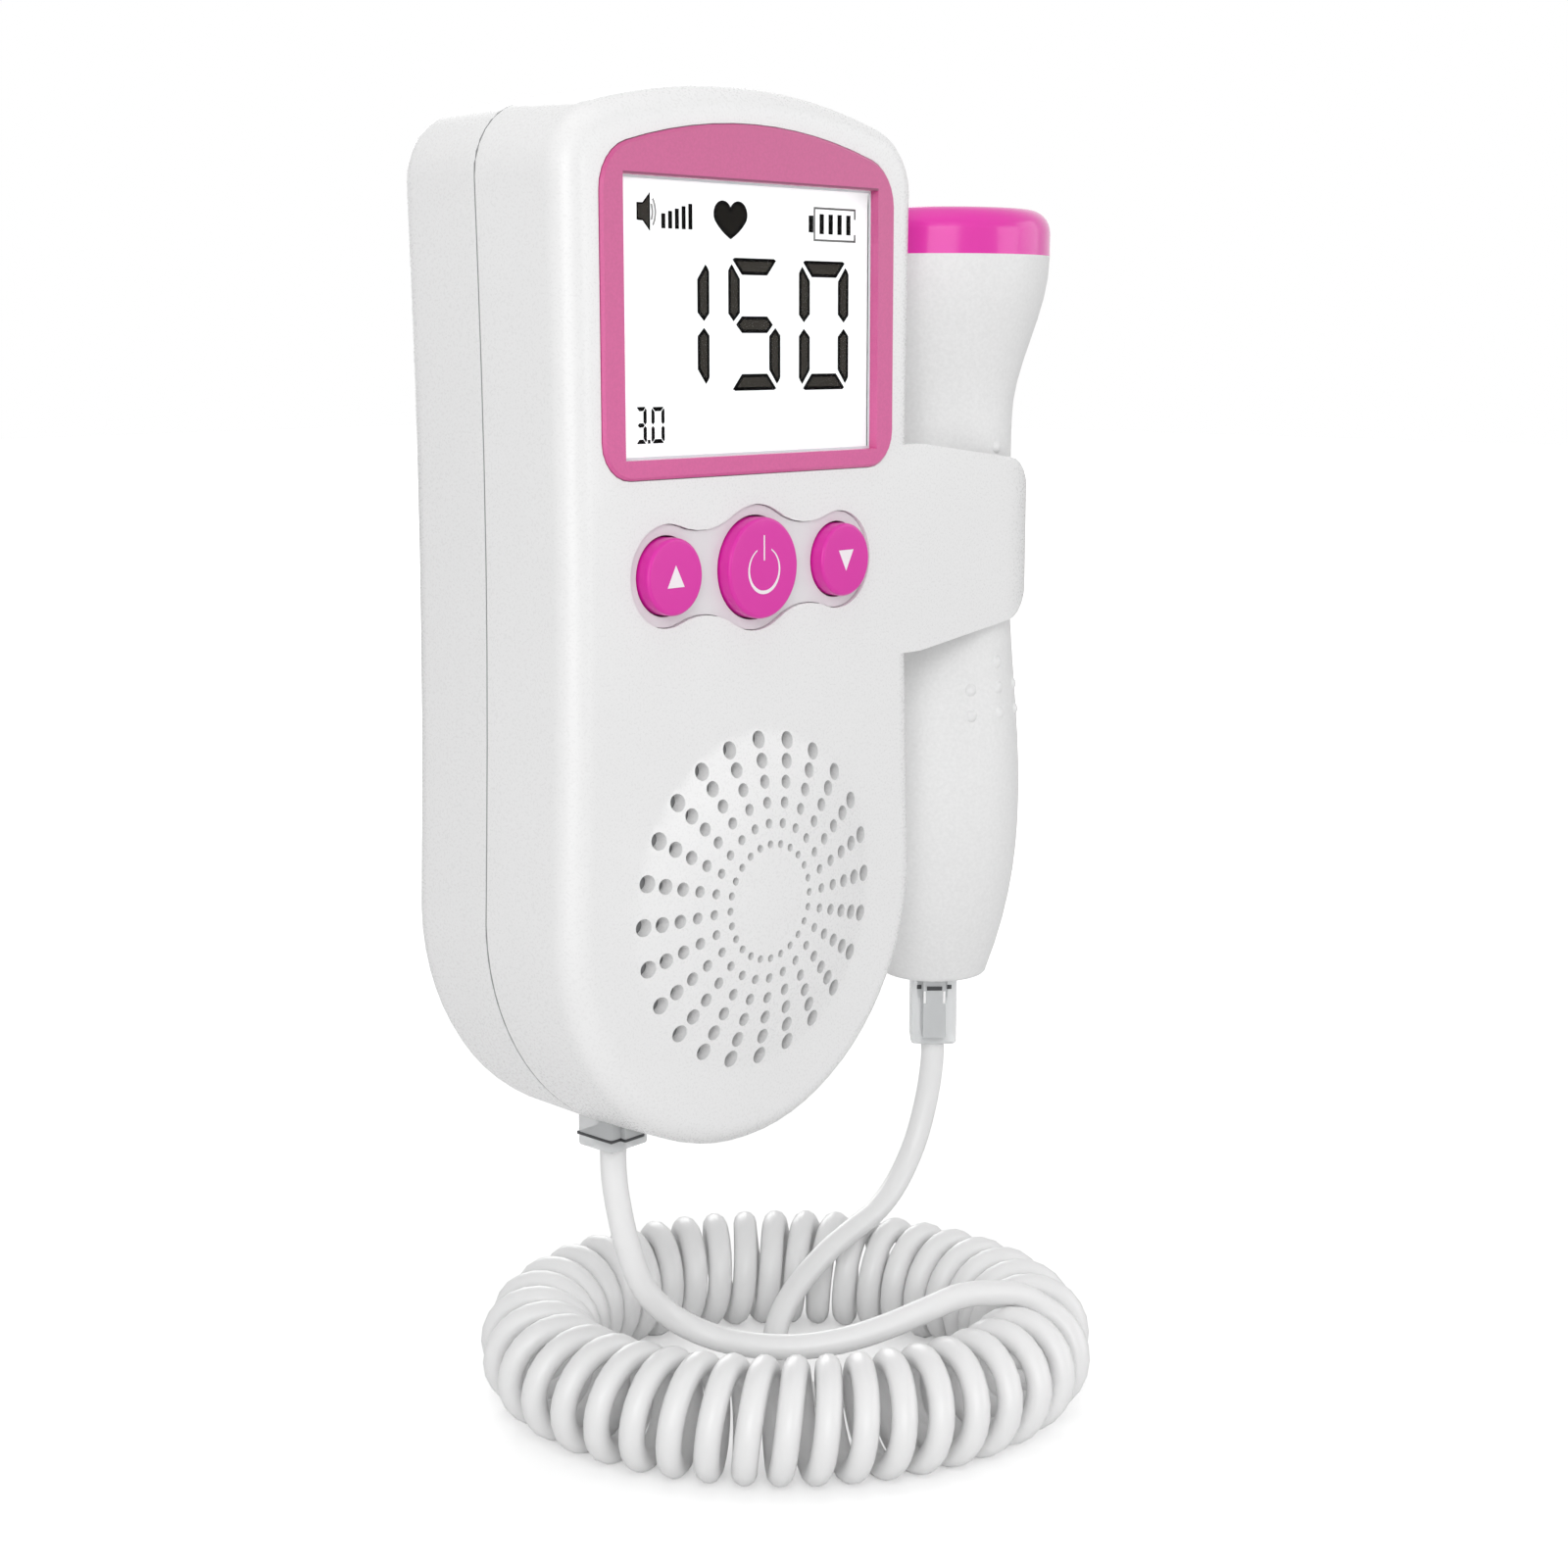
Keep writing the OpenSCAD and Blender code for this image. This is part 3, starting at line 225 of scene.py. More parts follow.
def finish_piece(
    obj: bpy.types.Object, name: str, body: Body, smooth: float = 30.0
) -> bpy.types.Object:
    """Names a new mesh, smooths it up to an angle and lets it ride on a body.

    Args:
        obj: the finished mesh object.
        name: the piece's name.
        body: the body that it moves with.
        smooth: the angle in degrees under which edges are smooth.

    Returns:
        The same object.
    """
    place_in_mesh(obj)
    obj.name = name
    obj.data.name = name
    bpy.ops.object.shade_smooth_by_angle(angle=math.radians(smooth))
    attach(obj, body.value)
    log.info("piece %s: %d faces on %s", name, len(obj.data.polygons), body.value)
    return obj


def modify(obj: bpy.types.Object, kind: str, **settings: object) -> None:
    """Adds a modifier with its settings and applies it.

    Args:
        obj: the mesh object.
        kind: the modifier's type name.
        settings: values by property name.
    """
    pick(obj)
    modifier = obj.modifiers.new(kind.title(), kind)
    for key, value in settings.items():
        setattr(modifier, key, value)
    bpy.ops.object.modifier_apply(modifier=modifier.name)


def flat_piece(outline: Outline, front_y: float, depth: float) -> bpy.types.Object:
    """A thin plate with its outline in X and Z and its face towards -Y, all in millimetres.

    Args:
        outline: corners as X and Z.
        front_y: the plane of the face.
        depth: the plate's thickness behind it.

    Returns:
        The plate, as a closed mesh.
    """
    deselect()
    bpy.ops.mesh.primitive_circle_add(vertices=len(outline), radius=MM, fill_type="NGON")
    plate = bpy.context.object
    for vertex, (x, z) in zip(plate.data.vertices, outline):
        vertex.co = point(x, front_y, z)
    edit_all(plate)
    bpy.ops.mesh.extrude_region_move(TRANSFORM_OT_translate={"value": (0, depth * MM, 0)})
    bpy.ops.mesh.select_all(action="SELECT")
    bpy.ops.mesh.normals_make_consistent(inside=False)
    bpy.ops.object.mode_set(mode="OBJECT")
    return plate


def joined(parts: Sequence[bpy.types.Object]) -> bpy.types.Object:
    """Joins several mesh objects into the first one.

    Args:
        parts: the objects, at least one.

    Returns:
        The first object, with the meshes of all.
    """
    pick(parts[0])
    for part in parts[1:]:
        part.select_set(True)
    if len(parts) > 1:
        bpy.ops.object.join()
    return parts[0]


def arc(cx: float, cz: float, r: float, start: float, stop: float, steps: int) -> list[Flat]:
    """Points along an arc in X and Z.

    Args:
        cx: the centre's X.
        cz: the centre's Z.
        r: the radius.
        start: the first angle in degrees.
        stop: the last angle in degrees.
        steps: how many steps lie between them.

    Returns:
        The points, both ends included.
    """
    turns = [math.radians(start + (stop - start) * i / steps) for i in range(steps + 1)]
    return [(cx + r * math.cos(t), cz + r * math.sin(t)) for t in turns]


def bar(x0: float, z0: float, x1: float, z1: float) -> list[Flat]:
    """The outline of an upright bar from its left bottom corner to its right top corner."""
    return [(x0, z0), (x1, z0), (x1, z1), (x0, z1)]


# ------------------------------------------------------------------ finishes


@dataclass(frozen=True)
class MouldedPlastic:
    """Injection-moulded plastic: one colour with faint flow clouds and the mould's fine grain."""

    name: str
    colour: str
    roughness: float = 0.38
    grain_mm: float = 0.35
    grain_depth_mm: float = 0.006
    cloud: float = 0.03
    coat: float = 0.0
    ior: float = 1.53
    speckle: float = 0.0
    cloud_mm: float = 25.0
    gloss_spread: float = 0.04

    def build(self) -> bpy.types.Material:
        """Makes the material: its grain moves the shade, the gloss and the height.

        Returns:
            The new material.
        """
        material = blank_material(self.name)
        place = add_node(material, "ShaderNodeTexCoord").outputs["Object"]
        clouds = add_node(
            material,
            "ShaderNodeTexNoise",
            {"Scale": 1 / (self.cloud_mm * MM), "Detail": 3.0},
            {"Vector": place},
        )
        grain = add_node(
            material,
            "ShaderNodeTexNoise",
            {"Scale": 1 / (self.grain_mm * MM), "Detail": 2.0},
            {"Vector": place},
        )
        base = linear(self.colour)
        dark = tuple(c * (1 - self.cloud) for c in base[:3]) + (1.0,)
        tint = add_node(
            material,
            "ShaderNodeMix",
            {"data_type": "RGBA", 6: base, 7: dark},
            {0: clouds.outputs["Fac"]},
        )
        pits = add_node(
            material,
            "ShaderNodeMapRange",
            {
                "From Min": NOISE_LOW,
                "From Max": NOISE_HIGH,
                "To Min": 1 - self.speckle,
                "To Max": 1 + self.speckle,
            },
            {"Value": grain.outputs["Fac"]},
        )
        shade = add_node(
            material,
            "ShaderNodeVectorMath",
            {"operation": "SCALE"},
            {0: tint.outputs[2], "Scale": pits.outputs[0]},
        )
        rough = add_node(
            material,
            "ShaderNodeMapRange",
            {
                "To Min": self.roughness - self.gloss_spread,
                "To Max": self.roughness + self.gloss_spread,
            },
            {"Value": grain.outputs["Fac"]},
        )
        bump = add_node(
            material,
            "ShaderNodeBump",
            {"Strength": 0.6, "Distance": self.grain_depth_mm * MM},
            {"Height": grain.outputs["Fac"]},
        )
        skin = add_node(
            material,
            "ShaderNodeBsdfPrincipled",
            {"IOR": self.ior, "Coat Weight": self.coat, "Coat Roughness": 0.12},
            {
                "Base Color": shade.outputs[0],
                "Roughness": rough.outputs[0],
                "Normal": bump.outputs[0],
            },
        )
        add_node(material, "ShaderNodeOutputMaterial", {}, {"Surface": skin.outputs[0]})
        return material


@dataclass(frozen=True)
class ToppedColour:
    """Back-printed plastic with painted shade: its colour shifts from a lower to an upper shade
    over its height.
    """

    name: str
    low: str
    high: str
    low_z: float
    high_z: float
    roughness: float = 0.3
    speck_mm: float = 0.3
    pearl: float = 0.04

    def build(self) -> bpy.types.Material:
        """Makes the material: a ramp along Z and fine pearl specks that are speck_mm wide.

        Returns:
            The new material.
        """
        material = blank_material(self.name)
        place = add_node(material, "ShaderNodeTexCoord").outputs["Object"]
        height = add_node(material, "ShaderNodeSeparateXYZ", {}, {0: place})
        share = add_node(
            material,
            "ShaderNodeMapRange",
            {"From Min": self.low_z * MM, "From Max": self.high_z * MM},
            {"Value": height.outputs[2]},
        )
        specks = add_node(
            material,
            "ShaderNodeTexNoise",
            {"Scale": 1 / (self.speck_mm * MM), "Detail": 1.0},
            {"Vector": place},
        )
        shade = add_node(
            material,
            "ShaderNodeMix",
            {"data_type": "RGBA", 6: linear(self.low), 7: linear(self.high)},
            {0: share.outputs[0]},
        )
        glint = add_node(
            material,
            "ShaderNodeMapRange",
            {
                "From Min": NOISE_LOW,
                "From Max": NOISE_HIGH,
                "To Min": 1 - self.pearl,
                "To Max": 1 + self.pearl,
            },
            {"Value": specks.outputs["Fac"]},
        )
        lit = add_node(
            material,
            "ShaderNodeVectorMath",
            {"operation": "SCALE"},
            {0: shade.outputs[2], "Scale": glint.outputs[0]},
        )
        skin = add_node(
            material,
            "ShaderNodeBsdfPrincipled",
            {"IOR": 1.5, "Roughness": self.roughness},
            {"Base Color": lit.outputs[0]},
        )
        add_node(material, "ShaderNodeOutputMaterial", {}, {"Surface": skin.outputs[0]})
        return material


@dataclass(frozen=True)
class ClearPlastic:
    """Clear moulded plastic, seen through but greyer where it is thick."""

    name: str
    colour: str
    alpha: float
    roughness: float = 0.08
    mirror: float = 0.5
    flow_mm: float = 3.0
    flow_gloss: float = 0.06

    def build(self) -> bpy.types.Material:
        """Makes the material: flow lines flow_mm apart move its gloss a little.

        Returns:
            The new material.
        """
        material = blank_material(self.name)
        place = add_node(material, "ShaderNodeTexCoord").outputs["Object"]
        flow = add_node(
            material,
            "ShaderNodeTexNoise",
            {"Scale": 1 / (self.flow_mm * MM), "Detail": 1.0},
            {"Vector": place},
        )
        rough = add_node(
            material,
            "ShaderNodeMapRange",
            {"To Min": self.roughness, "To Max": self.roughness + self.flow_gloss},
            {"Value": flow.outputs["Fac"]},
        )
        skin = add_node(
            material,
            "ShaderNodeBsdfPrincipled",
            {
                "Base Color": linear(self.colour),
                "IOR": 1.58,
                "Alpha": self.alpha,
                "Specular IOR Level": self.mirror,
            },
            {"Roughness": rough.outputs[0]},
        )
        add_node(material, "ShaderNodeOutputMaterial", {}, {"Surface": skin.outputs[0]})
        return material


@dataclass(frozen=True)
class LitGlass:
    """Liquid crystal glass over its backlight: an even, slightly cool white."""

    name: str
    colour: str
    glow: float
    patch_mm: float = 12.0
    dimmest: float = 0.97

    def build(self) -> bpy.types.Material:
        """Makes the material: the light falls off a little in soft clouds patch_mm across.

        Returns:
            The new material.
        """
        material = blank_material(self.name)
        place = add_node(material, "ShaderNodeTexCoord").outputs["Object"]
        spread = add_node(
            material,
            "ShaderNodeTexNoise",
            {"Scale": 1 / (self.patch_mm * MM), "Detail": 1.0},
            {"Vector": place},
        )
        glow = add_node(
            material,
            "ShaderNodeMapRange",
            {"To Min": self.glow * self.dimmest, "To Max": self.glow},
            {"Value": spread.outputs["Fac"]},
        )
        tint = linear(self.colour)
        skin = add_node(
            material,
            "ShaderNodeBsdfPrincipled",
            {"Base Color": tint, "Roughness": 0.25, "IOR": 1.52, "Emission Color": tint},
            {"Emission Strength": glow.outputs[0]},
        )
        add_node(material, "ShaderNodeOutputMaterial", {}, {"Surface": skin.outputs[0]})
        return material


@dataclass(frozen=True)
class Metal:
    """Sheet or turned metal with fine rolling lines."""

    name: str
    colour: str
    roughness: float = 0.32
    line_mm: float = 0.15
    stretch: float = 0.05
    brighter: float = 0.06
    duller: float = 0.1

    def build(self) -> bpy.types.Material:
        """Makes the material: the lines run along Z, line_mm apart.

        Returns:
            The new material.
        """
        material = blank_material(self.name)
        place = add_node(material, "ShaderNodeTexCoord").outputs["Object"]
        grid = add_node(
            material,
            "ShaderNodeMapping",
            {"Scale": (1.0, 1.0, self.stretch)},
            {"Vector": place},
        )
        lines = add_node(
            material,
            "ShaderNodeTexNoise",
            {"Scale": 1 / (self.line_mm * MM), "Detail": 2.0},
            {"Vector": grid.outputs[0]},
        )
        rough = add_node(
            material,
            "ShaderNodeMapRange",
            {"To Min": self.roughness - self.brighter, "To Max": self.roughness + self.duller},
            {"Value": lines.outputs["Fac"]},
        )
        skin = add_node(
            material,
            "ShaderNodeBsdfPrincipled",
            {"Base Color": linear(self.colour), "Metallic": 1.0},
            {"Roughness": rough.outputs[0]},
        )
        add_node(material, "ShaderNodeOutputMaterial", {}, {"Surface": skin.outputs[0]})
        return material


@dataclass(frozen=True)
class CircuitBoard:
    """Fibreglass board under green solder mask, with the copper's lines showing paler green."""

    name: str
    mask: str = "#12542B"
    copper: str = "#2B7F45"
    track_mm: float = 1.2
    cell_tracks: float = 2.5

    def build(self) -> bpy.types.Material:
        """Makes the material: tracks follow the edges of cells that are cell_tracks tracks wide.

        Returns:
            The new material.
        """
        material = blank_material(self.name)
        place = add_node(material, "ShaderNodeTexCoord").outputs["Object"]
        cells = add_node(
            material,
            "ShaderNodeTexVoronoi",
            {
                "distance": "MANHATTAN",
                "Scale": 1 / (self.track_mm * self.cell_tracks * MM),
                "Randomness": 0.7,
            },
            {"Vector": place},
        )
        tracks = add_node(
            material,
            "ShaderNodeMapRange",
            {"From Min": 0.45, "From Max": 0.55},
            {"Value": cells.outputs["Distance"]},
        )
        shade = add_node(
            material,
            "ShaderNodeMix",
            {"data_type": "RGBA", 6: linear(self.mask), 7: linear(self.copper)},
            {0: tracks.outputs[0]},
        )
        skin = add_node(
            material,
            "ShaderNodeBsdfPrincipled",
            {"Roughness": 0.35, "IOR": 1.5},
            {"Base Color": shade.outputs[2]},
        )
        add_node(material, "ShaderNodeOutputMaterial", {}, {"Surface": skin.outputs[0]})
        return material


@dataclass(frozen=True)
class CellSleeve:
    """Printed sleeve of a battery cell: a dark barrel with a copper-coloured band at one end."""

    name: str
    band_from_z: float
    band_edge: float
    barrel: str = "#2B2C30"
    band: str = "#B9793D"

    def build(self) -> bpy.types.Material:
        """Makes the material: the band begins at band_from_z, within band_edge.

        Returns:
            The new material.
        """
        material = blank_material(self.name)
        place = add_node(material, "ShaderNodeTexCoord").outputs["Object"]
        height = add_node(material, "ShaderNodeSeparateXYZ", {}, {0: place})
        share = add_node(
            material,
            "ShaderNodeMapRange",
            {
                "From Min": self.band_from_z * MM,
                "From Max": (self.band_from_z + self.band_edge) * MM,
            },
            {"Value": height.outputs[2]},
        )
        shade = add_node(
            material,
            "ShaderNodeMix",
            {"data_type": "RGBA", 6: linear(self.barrel), 7: linear(self.band)},
            {0: share.outputs[0]},
        )
        skin = add_node(
            material,
            "ShaderNodeBsdfPrincipled",
            {"Metallic": 0.8, "Roughness": 0.3},
            {"Base Color": shade.outputs[2]},
        )
        add_node(material, "ShaderNodeOutputMaterial", {}, {"Surface": skin.outputs[0]})
        return material


# The real moulds' grain is finer than these sizes; it is drawn as coarse as it needs to show.
# ABS casing, satin from a spark-eroded mould: soft highlights on a neutral white
CASING = MouldedPlastic("casing_abs", "#EDEDED", roughness=0.28, grain_mm=0.3, grain_depth_mm=0.004)
# ABS handle with a coarser texture for the hand, so it looks powdery
HANDLE = MouldedPlastic(
    "handle_abs", "#E9E9E9", roughness=0.5, grain_mm=0.5, grain_depth_mm=0.04, speckle=0.03
)
# Acrylic bezel printed on its back: even pink, with painted shade that makes it a little darker
# towards the top
BEZEL = ToppedColour("bezel_acrylic", "#D45C99", "#C6558C", -18.0, 22.0)
# Moulded silicone membrane: dull and pale grey
KEYPAD = MouldedPlastic(
    "keypad_silicone", "#E8E8E9", roughness=0.62, grain_mm=0.5, grain_depth_mm=0.05, cloud=0.08
)
# ABS keys from a smooth mould: strong magenta with a clear highlight
KEY = MouldedPlastic(
    "key_abs", "#DD20A6", roughness=0.3, grain_mm=0.4, grain_depth_mm=0.003, cloud=0.05
)
# ABS cap from a polished mould, the glossiest of the pink pieces
CAP = MouldedPlastic(
    "cap_abs", "#E325A9", roughness=0.2, grain_mm=0.4, grain_depth_mm=0.003, cloud=0.05, coat=0.2
)
# White ink that fills the keys' marks: flat, with a faint pink tinge
MARK = MouldedPlastic("mark_ink", "#F7EEF4", roughness=0.5, grain_mm=0.2, grain_depth_mm=0.002)
# Cast acrylic window, nearly unseen but for a weak reflection
WINDOW = ClearPlastic("window_acrylic", "#1C2022", 0.05, mirror=0.15)
# Moulded polycarbonate plugs: clear, and grey where they are thick
PLUG = ClearPlastic("plug_polycarbonate", "#E4E6E7", 0.6, 0.12)
# Glass lit from behind
GLASS = LitGlass("lcd_glass", "#FAFCFC", 0.55)
# Liquid crystal segments reflect next to nothing; they are darkest along their rims
SEGMENT = MouldedPlastic(
    "segment_face", "#413E39", roughness=0.9, cloud=0.1, grain_depth_mm=0.0, ior=1.2
)
SEGMENT_DEEP = MouldedPlastic(
    "segment_deep", "#1B1814", roughness=0.9, cloud=0.1, grain_depth_mm=0.0, ior=1.2
)
SEGMENT_RIM = MouldedPlastic(
    "segment_rim", "#040303", roughness=0.9, cloud=0.1, grain_depth_mm=0.0, ior=1.2
)
# Thin segments that look grey, since the light comes round them
GHOST = MouldedPlastic("segment_ghost", "#A9AAA9", roughness=0.5, grain_depth_mm=0.001)
FRAME_LINE = MouldedPlastic("segment_line", "#6E6F6E", roughness=0.5, grain_depth_mm=0.001)
# Painted shade: the pale green band along the window's edge stands for the bezel's shade on the lit
# glass, tinted as acrylic looks along its thickness
WINDOW_EDGE_SHADE = MouldedPlastic("window_edge_shade", "#E8FFFB", roughness=0.3, grain_depth_mm=0.001)
# The bezel's edge above the window lies in shade, so it looks like a dark line
LIP = MouldedPlastic("bezel_lip", "#8A3F63", roughness=0.5, grain_depth_mm=0.001)
# The two shells meet in a fine dark line
SEAM = MouldedPlastic("seam_shade", "#8B8C8D", roughness=0.8, grain_depth_mm=0.001)
# Thin grey dust cloth behind the grille: threads half a millimetre apart
CLOTH = MouldedPlastic(
    "dust_cloth",
    "#8E8F90",
    roughness=0.9,
    grain_mm=0.5,
    grain_depth_mm=0.05,
    cloud=0.1,
    speckle=0.1,
)
# Painted shade: the dark marks in a plug, laid out as its strain-relief bar; and painted light: the
# light that falls through along its latch
LOCK_SHADE = MouldedPlastic("lock_shade_marks", "#3A3B3D", roughness=0.5, grain_depth_mm=0.001)
GAP = MouldedPlastic("slot_light", "#FFFFFF", roughness=0.4, grain_depth_mm=0.001)
# Extruded PVC: smooth and slightly shiny, with a faint unevenness in its skin
CORD = MouldedPlastic(
    "cord_pvc", "#F0F0F0", roughness=0.32, grain_mm=0.8, grain_depth_mm=0.01, cloud=0.04
)
WIRE = MouldedPlastic("wire_sleeve", "#6F7276", roughness=0.5)
# Moulded epoxy, ABS, rubber and nylon: dark, and dull from their moulds
CHIP = MouldedPlastic("chip_epoxy", "#1D1D1F", roughness=0.55, grain_mm=0.2)
# BLACK also stands as painted shade in the casing screws' cross recesses
BLACK = MouldedPlastic("black_abs_and_recess_shade", "#17171A", roughness=0.45)
RUBBER = MouldedPlastic("connector_rubber", "#3A3A3E", roughness=0.7)
SOCKET = MouldedPlastic("socket_nylon", "#4A4A4E", roughness=0.5)
# Milky acrylic that spreads the light
LIGHT_GUIDE = MouldedPlastic("light_guide", "#F4F4F0", roughness=0.5)
# Pressed paper: matt, with fibres that show
CONE = MouldedPlastic(
    "cone_paper", "#2B2B2D", roughness=0.8, grain_mm=0.6, grain_depth_mm=0.08, cloud=0.2
)
# Cast resin behind the ultrasound disc
RESIN = MouldedPlastic(
    "backing_resin", "#24262A", roughness=0.5, grain_mm=0.4, grain_depth_mm=0.02
)
# Pressed, turned and plated metals: their lines spread each highlight
BASKET = Metal("basket_steel", "#7C7D80", roughness=0.4)
STEEL = Metal("screw_steel", "#BFC0C2")
MAGNET = Metal("magnet_zinc", "#A9ABAD", roughness=0.38)
NICKEL = Metal("contact_nickel", "#D8D5CC", roughness=0.25)
GOLD = Metal("contact_gold", "#E3B75A", roughness=0.22)
SILVER = Metal("disc_silver", "#D9D8D2", roughness=0.3)
# Glass-fibre laminate: glossy green with paler tracks
BOARD = CircuitBoard("board_fibreglass")
# Cell sleeves shine like printed foil; one cell stands on its head
SLEEVE_LEFT = CellSleeve("cell_sleeve_left", -44.0, 0.1)
SLEEVE_RIGHT = CellSleeve("cell_sleeve_right", -71.0, -0.1)


# ------------------------------------------------------------------ stage


@dataclass(frozen=True)
class Lamp:
    """A square soft lamp that faces the object, with its sizes in millimetres."""

    name: str
    at: Place
    side: float
    watts: float
    diffuse: bool = True
    glossy: bool = True
    aim_at: Place = (10, -15, -60)

    def hang(self) -> None:
        """Makes the lamp, and leaves it out of diffuse or glossy light where that is said."""
        data = bpy.data.lights.new(self.name, "AREA")
        data.size, data.energy = self.side * MM, self.watts
        lamp = bpy.data.objects.new(self.name, data)
        lamp.location = point(*self.at)
        aim = point(*self.aim_at) - lamp.location
        lamp.rotation_euler = aim.to_track_quat("-Z", "Y").to_euler()
        lamp.visible_diffuse, lamp.visible_glossy = self.diffuse, self.glossy
        bpy.context.scene.collection.objects.link(lamp)


@dataclass
class Studio:
    """The photograph's viewpoint, a white surface and soft light."""

    camera_at: Place = (-223.72, -236.36, -2.20)
    azimuth: float = -47.97
    elevation: float = 10.5
    lens: float = 55.26
    sensor: float = 36.0
    floor_m: float = 6.0
    shade_m: float = 0.12
    white_m: float = 0.5
    shade_lift: float = 0.32
    world_light: float = 0.45
    lamps: tuple[Lamp, ...] = (
        Lamp("key", (-560, -560, 330), 450, 3.25, glossy=False),
        Lamp("fill", (620, -420, 160), 400, 0.52),
        Lamp("top", (-60, -40, 640), 450, 1.0, glossy=False),
        Lamp("back", (420, 560, 140), 400, 1.3),
        Lamp("gloss_near", (-652, -576, 40), 560, 1.6, diffuse=False),
        Lamp("gloss_right", (405, -845, 40), 440, 1.0, diffuse=False),
    )

    def place_camera(self) -> None:
        """Makes the camera, which looks down by its elevation without a roll."""
        a, e = math.radians(self.azimuth), math.radians(self.elevation)
        back = Vector((math.sin(a) * math.cos(e), -math.cos(a) * math.cos(e), math.sin(e)))
        data = bpy.data.cameras.new("camera")
        data.lens, data.sensor_width, data.clip_start = self.lens, self.sensor, 0.01
        camera = bpy.data.objects.new("camera", data)
        camera.location = point(*self.camera_at)
        camera.rotation_euler = back.to_track_quat("Z", "Y").to_euler()
        bpy.context.scene.collection.objects.link(camera)
        bpy.context.scene.camera = camera

    def lay_floor(self) -> None:
        """Makes the white surface: it keeps the object's shadow near it and is white far off."""
        deselect()
        bpy.ops.mesh.primitive_plane_add(size=self.floor_m, location=point(0, 0, FLOOR_Z))
        floor = bpy.context.object
        floor.name = "floor"
        material = blank_material("studio_floor")
        path = add_node(material, "ShaderNodeLightPath")
        place = add_node(material, "ShaderNodeTexCoord").outputs["Object"]
        away = add_node(material, "ShaderNodeVectorMath", {"operation": "LENGTH"}, {0: place})
        lift = add_node(
            material,
            "ShaderNodeMapRange",
            {
                "From Min": self.shade_m,
                "From Max": self.white_m,
                "To Min": self.shade_lift,
                "To Max": 1.0,
            },
            {"Value": away.outputs["Value"]},
        )
        seen = add_node(
            material,
            "ShaderNodeMath",
            {"operation": "MULTIPLY"},
            {0: path.outputs["Is Camera Ray"], 1: lift.outputs[0]},
        )
        white = add_node(
            material,
            "ShaderNodeBsdfPrincipled",
            {"Base Color": (0.92, 0.92, 0.92, 1), "Roughness": 0.9, "Emission Color": (1, 1, 1, 1)},
            {"Emission Strength": seen.outputs[0]},
        )
        add_node(material, "ShaderNodeOutputMaterial", {}, {"Surface": white.outputs[0]})
        wear(floor, material)

    def light(self) -> None:
        """Makes the world, white where it is seen or mirrored, and hangs the lamps."""
        bpy.context.scene.view_settings.view_transform = "Standard"
        world = bpy.data.worlds.new("world")
        bpy.context.scene.world = world
        world.use_nodes = True
        world.node_tree.nodes.clear()
        rays = add_node(world, "ShaderNodeLightPath").outputs
        through = add_node(
            world,
            "ShaderNodeMath",
            {"operation": "MAXIMUM"},
            {0: rays["Is Camera Ray"], 1: rays["Is Transmission Ray"]},
        )
        seen = add_node(
            world,
            "ShaderNodeMath",
            {"operation": "MAXIMUM"},
            {0: through.outputs[0], 1: rays["Is Glossy Ray"]},
        )
        white = {"Color": (1, 1, 1, 1)}
        dim = add_node(world, "ShaderNodeBackground", {**white, "Strength": self.world_light})
        bright = add_node(world, "ShaderNodeBackground", white)
        mix = add_node(
            world,
            "ShaderNodeMixShader",
            {},
            {0: seen.outputs[0], 1: dim.outputs[0], 2: bright.outputs[0]},
        )
        add_node(world, "ShaderNodeOutputWorld", {}, {0: mix.outputs[0]})
        for lamp in self.lamps:
            lamp.hang()


# ------------------------------------------------------------------ cord


